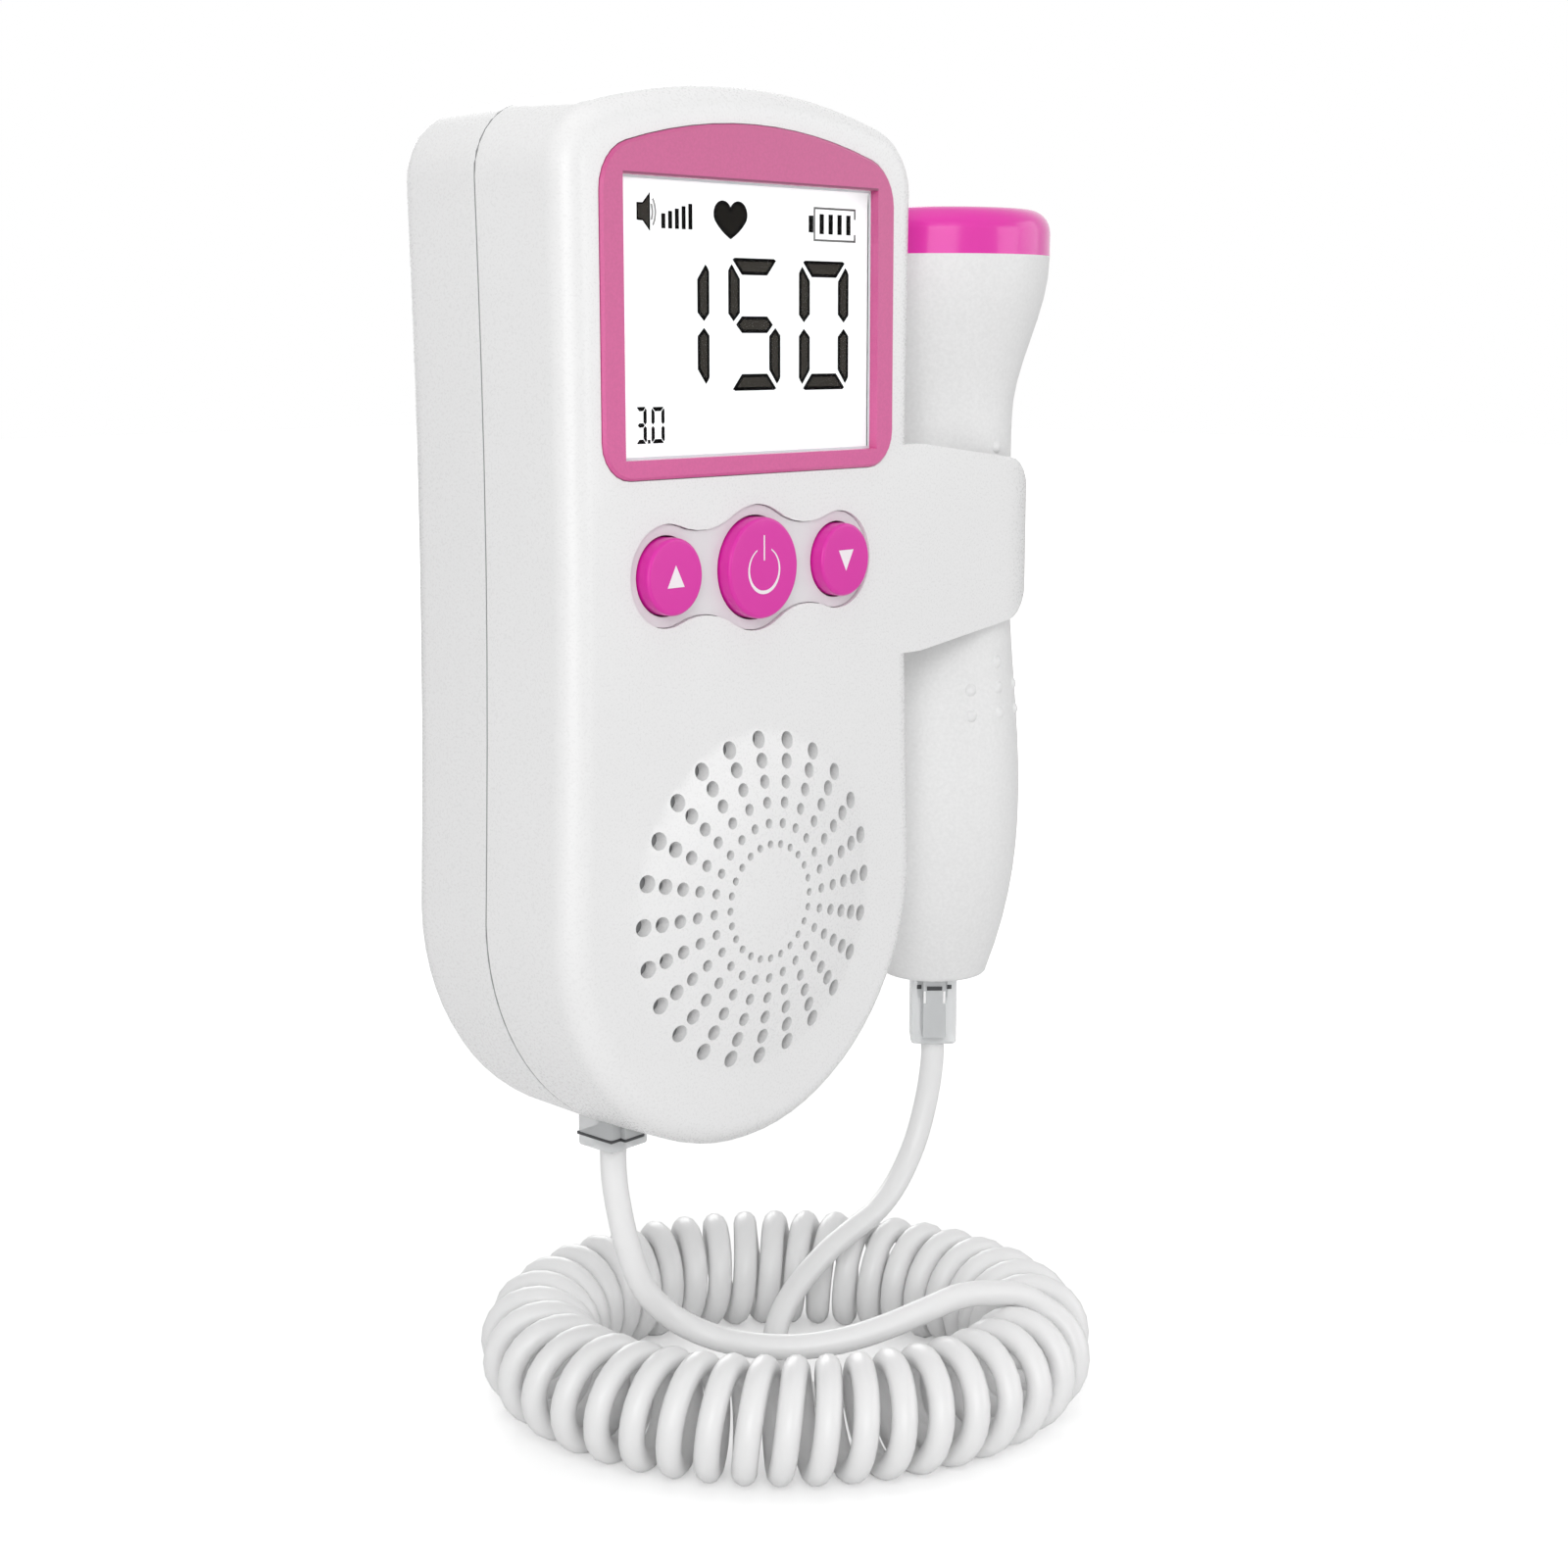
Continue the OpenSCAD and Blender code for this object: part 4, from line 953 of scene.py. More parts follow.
@dataclass
class ProbeCord:
    """The curly cord in its ring, and the plain leads that run to the two plugs."""

    thick: float = 3.5
    ring_at: Flat = (14.8, -21.8)
    ring_turn: float = -48.0
    half_long: float = 34.7
    half_wide: float = 26.6
    curl_r: float = 6.7
    curls: float = 39.5
    first_t: float = 60.0
    last_t: float = -90.0
    start_a: float = -62.0
    sweep_a: float = -346.0
    shares: int = 72
    steps: int = 24
    unit_exit: Place = (-12.0, -15.0, -107.359)
    probe_exit: Place = (52.9, -17.314, -106.7)
    # From the first curl back along the lead: direction, thicknesses away, millimetres up
    over_curls: tuple[Place, ...] = ((-52, 0.85, 1.95), (-34, 0.93, 1.45))
    unit_way: tuple[Place, ...] = (
        (-11.9, -15.5, -115), (-11, -16.4, -121.5), (-8.8, -17.2, -128), (-4.8, -18.6, -133),
        (-1.2, -22.3, -135.8), (1.4, -27.2, -136.5), (4.8, -32.2, -136.5), (9.2, -36.7, -135.7),
        (14, -40.5, -134.2), (18.8, -43.8, -132.3), (24, -46.4, -131),
    )
    probe_way: tuple[Place, ...] = (
        (52.2, -16.9, -116), (50.2, -16.4, -122.5), (46, -16.4, -127.8), (40.6, -16.8, -130.8),
        (35, -17, -132.2), (29.4, -17, -133.9), (24.6, -16.8, -136.4), (20.6, -16.8, -139.2),
        (17.2, -17.7, -142.2), (14.8, -19.7, -144.8), (13.5, -22.7, -146.8),
        (13.7, -26.3, -147.9), (15.9, -29.7, -148.05), (19.6, -32.4, -148.05),
        (24.2, -34.9, -148.05), (28.9, -38.1, -148.05),
    )

    def out(self, angle: float, r: float = 1.0) -> Vector:
        """A level arrow of length r at an angle in degrees."""
        return Vector((r * math.cos(math.radians(angle)), r * math.sin(math.radians(angle)), 0))

    def span(self, angle: float) -> float:
        """How far the oval's edge line lies from its centre, where outwards is at this angle."""
        a = math.radians(angle - self.ring_turn)
        return math.hypot(self.half_long * math.cos(a), self.half_wide * math.sin(a))

    def curl_at(self, angle: float, t: float) -> Vector:
        """A point on a curl.

        Args:
            angle: the direction in degrees that is outwards from the ring there.
            t: where on the curl, 90 degrees on its top and 0 on the outside of the ring.

        Returns:
            The point in millimetres.
        """
        a, turn = math.radians(angle - self.ring_turn), math.radians(t)
        middle = Vector((*self.ring_at, FLOOR_Z + self.curl_r + self.thick / 2))
        middle += self.out(self.ring_turn, self.half_long**2 * math.cos(a) / self.span(angle))
        middle += self.out(self.ring_turn + 90, self.half_wide**2 * math.sin(a) / self.span(angle))
        outwards = self.out(angle, self.curl_r * math.cos(turn))
        return middle + outwards + Vector((0, 0, self.curl_r * math.sin(turn)))

    def angles(self, count: int) -> list[float]:
        """Angles round the oval at equal steps along its inside, where the curls lie close.

        Args:
            count: the number of steps.

        Returns:
            One angle more than there are steps, in degrees.
        """
        each = self.sweep_a / self.shares
        along = [0.0]
        for i in range(self.shares):
            span = self.span(self.start_a + each * (i + 0.5))
            bend = (self.half_long * self.half_wide) ** 2 / span**3
            along.append(along[-1] + bend - self.curl_r)
        found, i = [], 0
        for k in range(count + 1):
            want = along[-1] * k / count
            while i < self.shares - 1 and along[i + 1] < want:
                i += 1
            part = (want - along[i]) / (along[i + 1] - along[i])
            found.append(self.start_a + each * (i + part))
        return found

    def curl_points(self) -> list[Vector]:
        """Points along all curls, steps for each turn.

        Returns:
            The points in millimetres, from the unit's end.
        """
        count = int(self.curls * self.steps)
        whole = 360 * self.curls + self.last_t + self.first_t
        return [
            self.curl_at(angle, self.first_t - whole * i / count)
            for i, angle in enumerate(self.angles(count))
        ]

    def rounded(self, corners: Sequence[Vector], each: int = 4) -> list[Vector]:
        """A smooth line through all corners.

        Args:
            corners: the points that it runs through.
            each: how many steps lie between two of them.

        Returns:
            The line's points.
        """
        line: list[Vector] = []
        for i in range(len(corners) - 1):
            a = corners[max(i - 1, 0)]
            b, c = corners[i], corners[i + 1]
            d = corners[min(i + 2, len(corners) - 1)]
            for step in range(each):
                u = step / each
                line.append(
                    0.5
                    * (
                        2 * b
                        + (c - a) * u
                        + (2 * a - 5 * b + 4 * c - d) * u * u
                        + (3 * b - 3 * c + d - a) * u * u * u
                    )
                )
        return [*line, corners[-1]]

    def lead(self, exit_at: Place, way: Sequence[Place], last: Sequence[Vector]) -> list[Vector]:
        """The smooth line of one lead, from its plug to the curls.

        Args:
            exit_at: where it leaves its plug.
            way: the places that it passes.
            last: its last places, at the curls.

        Returns:
            The line's points.
        """
        start = Vector(exit_at)
        corners = [start, start - Vector((0, 0, self.thick)), *[Vector(p) for p in way], *last]
        return self.rounded(corners)

    def lines(self) -> tuple[list[Vector], list[Vector]]:
        """Lays out both cords.

        Returns:
            The line of the unit's lead with the curls, and that of the probe's lead.
        """
        end_a = self.start_a + self.sweep_a
        over = [self.curl_at(self.start_a, self.first_t)]
        for angle, away, up in self.over_curls:
            over.append(over[-1] - self.out(angle, away * self.thick) + Vector((0, 0, up)))
        foot = self.curl_at(end_a, self.last_t)
        low = [foot - self.out(end_a, r * self.thick) for r in (2, 1)]
        curls = self.curl_points()
        unit_lead = self.lead(self.unit_exit, self.unit_way, over[:0:-1])
        return [*unit_lead, *curls, low[1]], self.lead(self.probe_exit, self.probe_way, low)

    def tube(self, name: str, line: Sequence[Vector]) -> bpy.types.Object:
        """A round cord along a line, with a fine skin.

        Args:
            name: the cord's name.
            line: its middle line in millimetres.

        Returns:
            The cord, as a curve.
        """
        data = bpy.data.curves.new(name, "CURVE")
        data.dimensions = "3D"
        data.bevel_depth = self.thick / 2 * MM
        data.bevel_resolution = 4
        data.use_fill_caps = True
        spline = data.splines.new("POLY")
        spline.points.add(len(line) - 1)
        for knot, p in zip(spline.points, line):
            knot.co = (p.x * MM, p.y * MM, p.z * MM, 1.0)
        cord = bpy.data.objects.new(name, data)
        bpy.context.scene.collection.objects.link(cord)
        return cord

    def build(self) -> None:
        long_line, short_line = self.lines()
        finish = CORD.build()
        curly = self.tube("curly_cord_skin", long_line)
        wear(curly, finish)
        curly.data.splines[0].use_smooth = True
        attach(curly, Body.UNIT.value)
        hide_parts("unit_lead", "curly_cord")
        lead = self.tube("probe_lead_skin", short_line)
        pick(lead)
        bpy.ops.object.convert(target="MESH")
        lead = bpy.context.object
        wear(lead, finish)
        bpy.ops.object.shade_smooth_by_angle(angle=math.radians(60))
        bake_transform(lead)
        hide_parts("probe_lead")
        log.info("cord %.3f m and lead %.3f m", length_of(long_line), length_of(short_line))


def length_of(line: Sequence[Vector]) -> float:
    """The length in metres of a line given in millimetres."""
    return sum((b - a).length for a, b in zip(line, line[1:])) * MM


# ------------------------------------------------------------------ casings


@dataclass
class Skin:
    """A smooth copy of a node of the model, which then stands for it."""

    node: str
    body: Body
    slot: str
    angle: float = 32.0

    def build(self, frame: dict, *materials: bpy.types.Material) -> bpy.types.Object:
        """Copies the node's mesh, merges it and smooths its rounded edges.

        Args:
            frame: the loaded model.
            materials: the finishes it wears.

        Returns:
            The new piece.
        """
        mesh = frame["nodes"][self.node].data.copy()
        copy = bpy.data.objects.new(self.node + "_skin", mesh)
        bpy.context.scene.collection.objects.link(copy)
        edit_all(copy)
        bpy.ops.mesh.remove_doubles(threshold=MERGE)
        bpy.ops.mesh.customdata_custom_splitnormals_clear()
        bpy.ops.object.mode_set(mode="OBJECT")
        wear(copy, *materials)
        finish_piece(copy, self.node + "_skin", self.body, self.angle)
        weigh = copy.modifiers.new("Weighted", "WEIGHTED_NORMAL")
        weigh.keep_sharp = True
        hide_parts(self.node)
        return copy


@dataclass
class Casing:
    """The unit's shells and door, the seam's dark line, the cloth and the screws' crosses of
    painted shade.
    """

    frame: dict
    bottom_r: float = 33.25
    bottom_z: float = -73.75
    side_x: float = 32.4
    side_steps: int = 8
    waist: float = 0.9
    arch_r: float = 100.0
    arch_z: float = -71.5
    shoulder_r: float = 9.0
    seam_y: float = -15.0
    seam_wide: float = 0.34
    seam_sunk: float = 0.04
    seam_thick: float = 0.3
    seam_stop_a: float = -62.0
    seam_under_a: Flat = (-105.0, -75.0)
    dome_y: float = 63.23
    dome_in_r: float = 93.98
    cloth_r: float = 21.3
    cloth_thick: float = 0.15
    screws_at: tuple[Flat, ...] = ((18, 22), (-18, 22), (23, -89.05), (-23, -89.05))
    screw_face_y: float = -4.2
    cross_long: float = 1.3
    cross_wide: float = 0.28
    cross_proud: float = 0.05
    cross_thick: float = 0.07

    def build(self) -> None:
        """Makes the shells and the door in satin white, then their small parts."""
        white = CASING.build()
        Skin("front_shell", Body.UNIT, "casing_white").build(self.frame, white)
        Skin("rear_shell", Body.UNIT, "casing_white").build(self.frame, white)
        Skin("battery_door", Body.DOOR, "casing_white").build(self.frame, white)
        self.seam()
        self.cloth()
        self.crosses()

    def side(self, inset: float, first: float) -> list[Flat]:
        """The right half of the unit's outline, from an angle of its round bottom up to its top.

        Args:
            inset: how far it lies inside the skin.
            first: the angle in degrees at which it begins, -90 at the very bottom.

        Returns:
            The points from the bottom to the top.
        """
        corner_x = self.side_x - self.shoulder_r
        corner_z = self.arch_z + math.sqrt((self.arch_r - self.shoulder_r) ** 2 - corner_x**2)
        lean = math.degrees(math.atan2(corner_z - self.arch_z, corner_x))
        points = arc(0, self.bottom_z, self.bottom_r - inset, first, 0, 24)
        for i in range(1, self.side_steps):
            u = i / self.side_steps
            hollow = self.waist * math.sin(math.pi * u)
            x = self.bottom_r + (self.side_x - self.bottom_r) * u - hollow
            points.append((x - inset, self.bottom_z + (corner_z - self.bottom_z) * u))
        points += arc(corner_x, corner_z, self.shoulder_r - inset, 0, lean, 8)
        return points + arc(0, self.arch_z, self.arch_r - inset, lean, 90, 8)[1:]

    def seam(self) -> None:
        """Makes the fine dark line between the shells; it stops at the two sockets."""
        over, under = [], []
        for inset in (self.seam_sunk, self.seam_sunk + self.seam_thick):
            right = self.side(inset, self.seam_stop_a)
            over.append([*right, *[(-x, z) for x, z in reversed(right[:-1])]])
            under.append(arc(0, self.bottom_z, self.bottom_r - inset, *self.seam_under_a, 10))
        line = joined([
            flat_piece([*outer, *reversed(inner)], self.seam_y - self.seam_wide / 2, self.seam_wide)
            for outer, inner in (over, under)
        ])
        wear(line, SEAM.build())
        finish_piece(line, "seam_line", Body.UNIT)

    def cloth(self) -> None:
        """Makes the thin domed cloth just behind the grille's holes."""
        deselect()
        bpy.ops.mesh.primitive_circle_add(
            vertices=48, radius=self.cloth_r * MM, fill_type="TRIFAN"
        )
        cloth = bpy.context.object
        edit_all(cloth)
        bpy.ops.mesh.subdivide(number_cuts=5)
        bpy.ops.object.mode_set(mode="OBJECT")
        for vertex in cloth.data.vertices:
            x, z = vertex.co.x / MM, vertex.co.y / MM
            y = self.dome_y - math.sqrt(self.dome_in_r**2 - x * x - z * z)
            vertex.co = point(x, y, self.bottom_z + z)
        modify(cloth, "SOLIDIFY", thickness=self.cloth_thick * MM, offset=0.0)
        edit_all(cloth)
        bpy.ops.mesh.normals_make_consistent(inside=False)
        bpy.ops.object.mode_set(mode="OBJECT")
        wear(cloth, CLOTH.build())
        finish_piece(cloth, "dust_cloth", Body.UNIT)

    def crosses(self) -> None:
        """Makes the cross recesses in the heads of the four casing screws, as flat dark plates of
        painted shade.
        """
        a, b = self.cross_long, self.cross_wide
        quarter = [(b, a), (b, b), (a, b)]
        plus = [*quarter, *[(x, -z) for x, z in reversed(quarter)]]
        plus = [*plus, *[(-x, z) for x, z in reversed(plus)]]
        face_y = self.screw_face_y - self.cross_proud
        recesses = joined([
            flat_piece([(x + px, z + pz) for px, pz in plus], face_y, self.cross_thick)
            for x, z in self.screws_at
        ])
        wear(recesses, BLACK.build())
        finish_piece(recesses, "screw_recesses", Body.UNIT)


# ------------------------------------------------------------------ display


@dataclass(frozen=True)
class Digit:
    """One seven-segment digit on the glass, placed by its left, right, bottom and top edges."""

    left: float
    right: float
    low: float
    high: float
    stroke: float
    lit: str

    def outlines(self) -> list[list[Flat]]:
        """Draws the lit segments, with mitred ends and thin gaps.

        Returns:
            One outline for each lit segment.
        """
        x0, x1, z0, z1, s = self.left, self.right, self.low, self.high, self.stroke
        zm, k, c = (z0 + z1) / 2, 0.2 * s, 0.38 * s
        top = [
            (x0 + c, z1 - 0.1 * s), (x0 + c + 0.2 * s, z1), (x1 - c - 0.2 * s, z1),
            (x1 - c, z1 - 0.1 * s), (x1 - s - k, z1 - s), (x0 + s + k, z1 - s),
        ]
        left_high = [
            (x0 + 0.12 * s, z1 - c - k), (x0 + 0.3 * s, z1 - c), (x0 + s, z1 - s - 1.2 * k),
            (x0 + s, zm + 0.5 * s + k), (x0 + 0.45 * s, zm + k), (x0, zm + 0.45 * s + k),
            (x0, z1 - c - 2 * k),
        ]
        middle = [
            (x0 + 0.68 * s, zm), (x0 + s + k, zm + s / 2), (x1 - s - k, zm + s / 2),
            (x1 - 0.68 * s, zm), (x1 - s - k, zm - s / 2), (x0 + s + k, zm - s / 2),
        ]

        def across(shape: Outline) -> list[Flat]:
            """The shape mirrored left to right."""
            return [(x0 + x1 - x, z) for x, z in reversed(shape)]

        def below(shape: Outline) -> list[Flat]:
            """The shape mirrored top to bottom."""
            return [(x, z0 + z1 - z) for x, z in reversed(shape)]

        every = {
            "a": top, "b": across(left_high), "c": across(below(left_high)), "d": below(top),
            "e": below(left_high), "f": left_high, "g": middle,
        }
        return [every[name] for name in self.lit]


@dataclass
class Display:
    """Bezel, window, glass and the marks that the glass shows."""

    frame: dict
    mark_front: float = -27.96
    mark_depth: float = 0.05
    # Widths of the darker rims
    digit_rim: float = 0.42
    speaker_rim: float = 0.2
    heart_rim: float = 0.45
    # The painted shade band along the window's edge, and the bezel's shaded lip above it
    window_x: float = 23.08
    window_z: float = 16.58
    edge_wide: float = 0.32
    edge_y: float = -29.14
    edge_deep: float = 0.05
    lip_x: float = 23.1
    lip_z: Flat = (16.6, 16.86)
    lip_y: float = -30.41
    lip_deep: float = 0.03
    # The rate, the probe's figure and its dot
    rate: tuple[tuple[str, Digit], ...] = (
        ("rate_hundreds", Digit(-15.8, -6.2, -8.55, 7.4, 2.05, "bc")),
        ("rate_tens", Digit(-2.75, 6.8, -8.7, 7.55, 2.05, "afgcd")),
        ("rate_units", Digit(10.4, 20.05, -8.8, 7.5, 2.05, "abcdef")),
    )
    figure: tuple[Digit, ...] = (
        Digit(-19.0, -17.2, -14.75, -10.35, 0.5, "abcdg"),
        Digit(-16.35, -14.15, -14.75, -10.4, 0.5, "abcdef"),
    )
    dot: tuple[float, float, float, float] = (-17.0, -14.75, -16.6, -14.3)
    # The loudspeaker and its waves: radius and half angle of each
    speaker: Outline = (
        (-18.5, 13.6), (-17.5, 13.6), (-16.3, 14.8), (-16.3, 10.3), (-17.5, 11.5), (-18.5, 11.55),
    )
    waves_at: Flat = (-18.35, 12.55)
    waves: tuple[Flat, ...] = ((2.6, 22), (3.1, 31))
    wave_wide: float = 0.26
    # The level bars, which rise to the right
    level_count: int = 5
    level_left: float = -14.36
    level_pitch: float = 1.16
    level_wide: float = 0.64
    level_low: float = 10.7
    level_top: float = 12.45
    level_rise: float = 0.32
    # The heart: its middle at the height of its lobes, and its shape about that
    heart_at: Flat = (-2.3, 12.75)
    heart_lobe_r: float = 1.62
    heart_lobe_x: float = 1.4
    heart_lobe_a: Flat = (149.8, -28)
    heart_bow: Flat = (1.86, -2.05)
    heart_tip: float = 3.0
    heart_steps: int = 8
    # The battery: its knob, its cells, and the left, right, lower and upper lines of its frame
    knob: tuple[float, float, float, float] = (12.25, 11.05, 13.1, 13.15)
    cells_x: tuple[float, ...] = (14.35, 16.1, 17.85, 19.6)
    cell_wide: float = 0.8
    cell_z: Flat = (10.9, 13.4)
    frame_x: Flat = (13.2, 21.4)
    frame_rows: tuple[Flat, ...] = ((9.98, 10.24), (13.98, 14.24))
    frame_posts: tuple[Place, ...] = (
        (13.2, 10.24, 13.98), (21.14, 12.9, 13.98), (21.14, 10.24, 11.0),
    )
    frame_wide: float = 0.26

    def build(self) -> None:
        """Makes the printed bezel, the clear window and the marks."""
        Skin("display_bezel", Body.UNIT, "bezel_pink").build(self.frame, BEZEL.build())
        Skin("display_window", Body.UNIT, "window_clear").build(self.frame, WINDOW.build())
        face, edge = SEGMENT.build(), SEGMENT_RIM.build()
        ghost = GHOST.build()
        self.window_edge_shade()
        self.digits(face, edge)
        self.icons(face, edge, ghost)

    def window_edge_shade(self) -> None:
        """Makes the pale band of painted shade along the window's edge, and the bezel's shaded lip
        above it.
        """
        x, z, w = self.window_x, self.window_z, self.edge_wide
        bars = (
            bar(-x, z - w, x, z),
            bar(-x, -z, x, -z + w),
            bar(-x, -z + w, -x + w, z - w),
            bar(x - w, -z + w, x, z - w),
        )
        frame = joined([flat_piece(outline, self.edge_y, self.edge_deep) for outline in bars])
        wear(frame, WINDOW_EDGE_SHADE.build())
        finish_piece(frame, "window_edge_shade", Body.UNIT)
        outline = bar(-self.lip_x, self.lip_z[0], self.lip_x, self.lip_z[1])
        lip = flat_piece(outline, self.lip_y, self.lip_deep)
        wear(lip, LIP.build())
        finish_piece(lip, "bezel_lip", Body.UNIT)

    def mark(
        self,
        name: str,
        outlines: Sequence[Outline],
        rim: float,
        *finishes: bpy.types.Material,
    ) -> None:
        """Makes one group of marks in front of the glass.

        Args:
            name: the piece's name.
            outlines: its shapes in X and Z.
            rim: width of the darker rim of each shape, or 0 for none.
            finishes: the rim's or only finish, then that of the middle.
        """
        shapes = []
        for outline in outlines:
            shape = flat_piece(outline, self.mark_front, self.mark_depth)
            wear(shape, *finishes)
            if rim:
                pick_faces(shape, lambda face: face.normal.y < -0.9)
                bpy.ops.mesh.inset(thickness=rim * MM)
                bpy.ops.object.mode_set(mode="OBJECT")
                for face in shape.data.polygons:
                    face.material_index = 1 if face.select else 0
            shapes.append(shape)
        piece = joined(shapes)
        finish_piece(piece, name, Body.UNIT)

    def digits(self, face: bpy.types.Material, edge: bpy.types.Material) -> None:
        """Makes the large rate and the small figure below it.

        Args:
            face: the finish of a wide segment's middle.
            edge: the finish of its rim, and of thin segments.
        """
        for name, digit in self.rate:
            self.mark(name, digit.outlines(), self.digit_rim, edge, face)
        shapes = [shape for digit in self.figure for shape in digit.outlines()]
        self.mark("probe_figure", [*shapes, bar(*self.dot)], 0, edge)

    def icons(
        self, face: bpy.types.Material, edge: bpy.types.Material, ghost: bpy.types.Material
    ) -> None:
        """Makes the loudspeaker, its level bars, the heart and the battery.

        Args:
            face: the finish of a wide segment's middle.
            edge: the finish of its rim, and of thin segments.
            ghost: the grey finish of the waves.
        """
        self.mark("icon_speaker", [self.speaker], self.speaker_rim, edge, face)
        waves = []
        for r, half in self.waves:
            outer = arc(*self.waves_at, r, -half, half, 10)
            inner = arc(*self.waves_at, r - self.wave_wide, -half, half, 10)
            waves.append([*outer, *reversed(inner)])
        self.mark("icon_waves", waves, 0, ghost)
        levels = []
        for i in range(self.level_count):
            left, top = self.level_left + self.level_pitch * i, self.level_top + self.level_rise * i
            levels.append(bar(left, self.level_low, left + self.level_wide, top))
        self.mark("icon_level", levels, 0, edge)
        self.mark("icon_heart", [self.heart()], self.heart_rim, edge, SEGMENT_DEEP.build())
        low, high = self.cell_z
        cells = [bar(x, low, x + self.cell_wide, high) for x in self.cells_x]
        self.mark("icon_battery", [bar(*self.knob), *cells], 0, edge)
        left, right = self.frame_x
        rows = [bar(left, z0, right, z1) for z0, z1 in self.frame_rows]
        posts = [bar(x, z0, x + self.frame_wide, z1) for x, z0, z1 in self.frame_posts]
        self.mark("icon_battery_frame", [*rows, *posts], 0, FRAME_LINE.build())

    def heart(self) -> list[Flat]:
        """A plain heart's outline: two round lobes and sides that bow out to a blunt tip.

        Returns:
            The outline, from the notch round the right lobe to the tip and back.
        """
        lobe = arc(0, 0, self.heart_lobe_r, *self.heart_lobe_a, 14)
        right = [(self.heart_lobe_x + px, pz) for px, pz in lobe]
        (ax, az), (bx, bz) = right[-1], self.heart_bow
        for i in range(1, self.heart_steps + 1):
            u = i / self.heart_steps
            near, bow = (1 - u) ** 2, 2 * u * (1 - u)
            right.append((near * ax + bow * bx, near * az + bow * bz - u * u * self.heart_tip))
        left = [(-px, pz) for px, pz in reversed(right[1:-1])]
        x, z = self.heart_at
        return [(x + px, z + pz) for px, pz in reversed([*right, *left])]


# ------------------------------------------------------------------ keypad


@dataclass
class Keypad:
    """The grey membrane, the three magenta keys and their white marks."""

    frame: dict
    row_z: float = -30.75
    pitch: float = 15.85
    face_y: float = -31.4
    mark_sunk: float = 0.01
    mark_thick: float = 0.24
    arrow_half: float = 1.47
    arrow_foot: float = 1.28
    arrow_tip: float = 1.46
    # The power sign: radius, drop and first and last angle of its outer and inner arc
    ring: tuple[tuple[float, float, float, float], ...] = (
        (2.98, 0.3, 116, 424), (2.68, 0.15, 118, 422),
    )
    stem_half: float = 0.12
    stem_z: Flat = (0.97, 4.13)

    def build(self) -> None:
        """Makes the membrane, then each key with its mark."""
        Skin("keypad_membrane", Body.UNIT, "keypad_grey").build(self.frame, KEYPAD.build())
        pink, white = KEY.build(), MARK.build()
        keys = (("up_button", Body.UP), ("power_button", Body.POWER), ("down_button", Body.DOWN))
        for node, body in keys:
            Skin(node, body, "button_magenta").build(self.frame, pink)
        for name, body, shapes in (
            ("up_mark", Body.UP, [self.arrow(-self.pitch, 1)]),
            ("power_mark", Body.POWER, self.power_sign()),
            ("down_mark", Body.DOWN, [self.arrow(self.pitch, -1)]),
        ):
            front = self.face_y + self.mark_sunk
            piece = joined([flat_piece(shape, front, self.mark_thick) for shape in shapes])
            wear(piece, white)
            finish_piece(piece, name, body)

    def arrow(self, x: float, way: int) -> list[Flat]:
        """A small triangle that points up for way 1 and down for way -1."""
        foot, tip = self.row_z - self.arrow_foot * way, self.row_z + self.arrow_tip * way
        return [(x - self.arrow_half, foot), (x + self.arrow_half, foot), (x, tip)]

    def power_sign(self) -> list[list[Flat]]:
        """An open ring with a stem in its gap.

        Returns:
            The outlines of the ring and of the stem.
        """
        outer, inner = [arc(0, self.row_z - drop, r, a0, a1, 40) for r, drop, a0, a1 in self.ring]
        low, high = [self.row_z + z for z in self.stem_z]
        return [[*outer, *reversed(inner)], bar(-self.stem_half, low, self.stem_half, high)]


# ------------------------------------------------------------------ probe and plugs


@dataclass
class Probe:
    """The probe's two handle halves and its pink cap."""

    frame: dict

    def build(self) -> None:
        """Makes the handle with its powdery grain, and the glossier cap."""
        handle = HANDLE.build()
        Skin("probe_front_shell", Body.PROBE, "casing_white").build(self.frame, handle)
        Skin("probe_rear_shell", Body.PROBE, "casing_white").build(self.frame, handle)
        Skin("probe_cap", Body.PROBE, "cap_pink").build(self.frame, CAP.build())


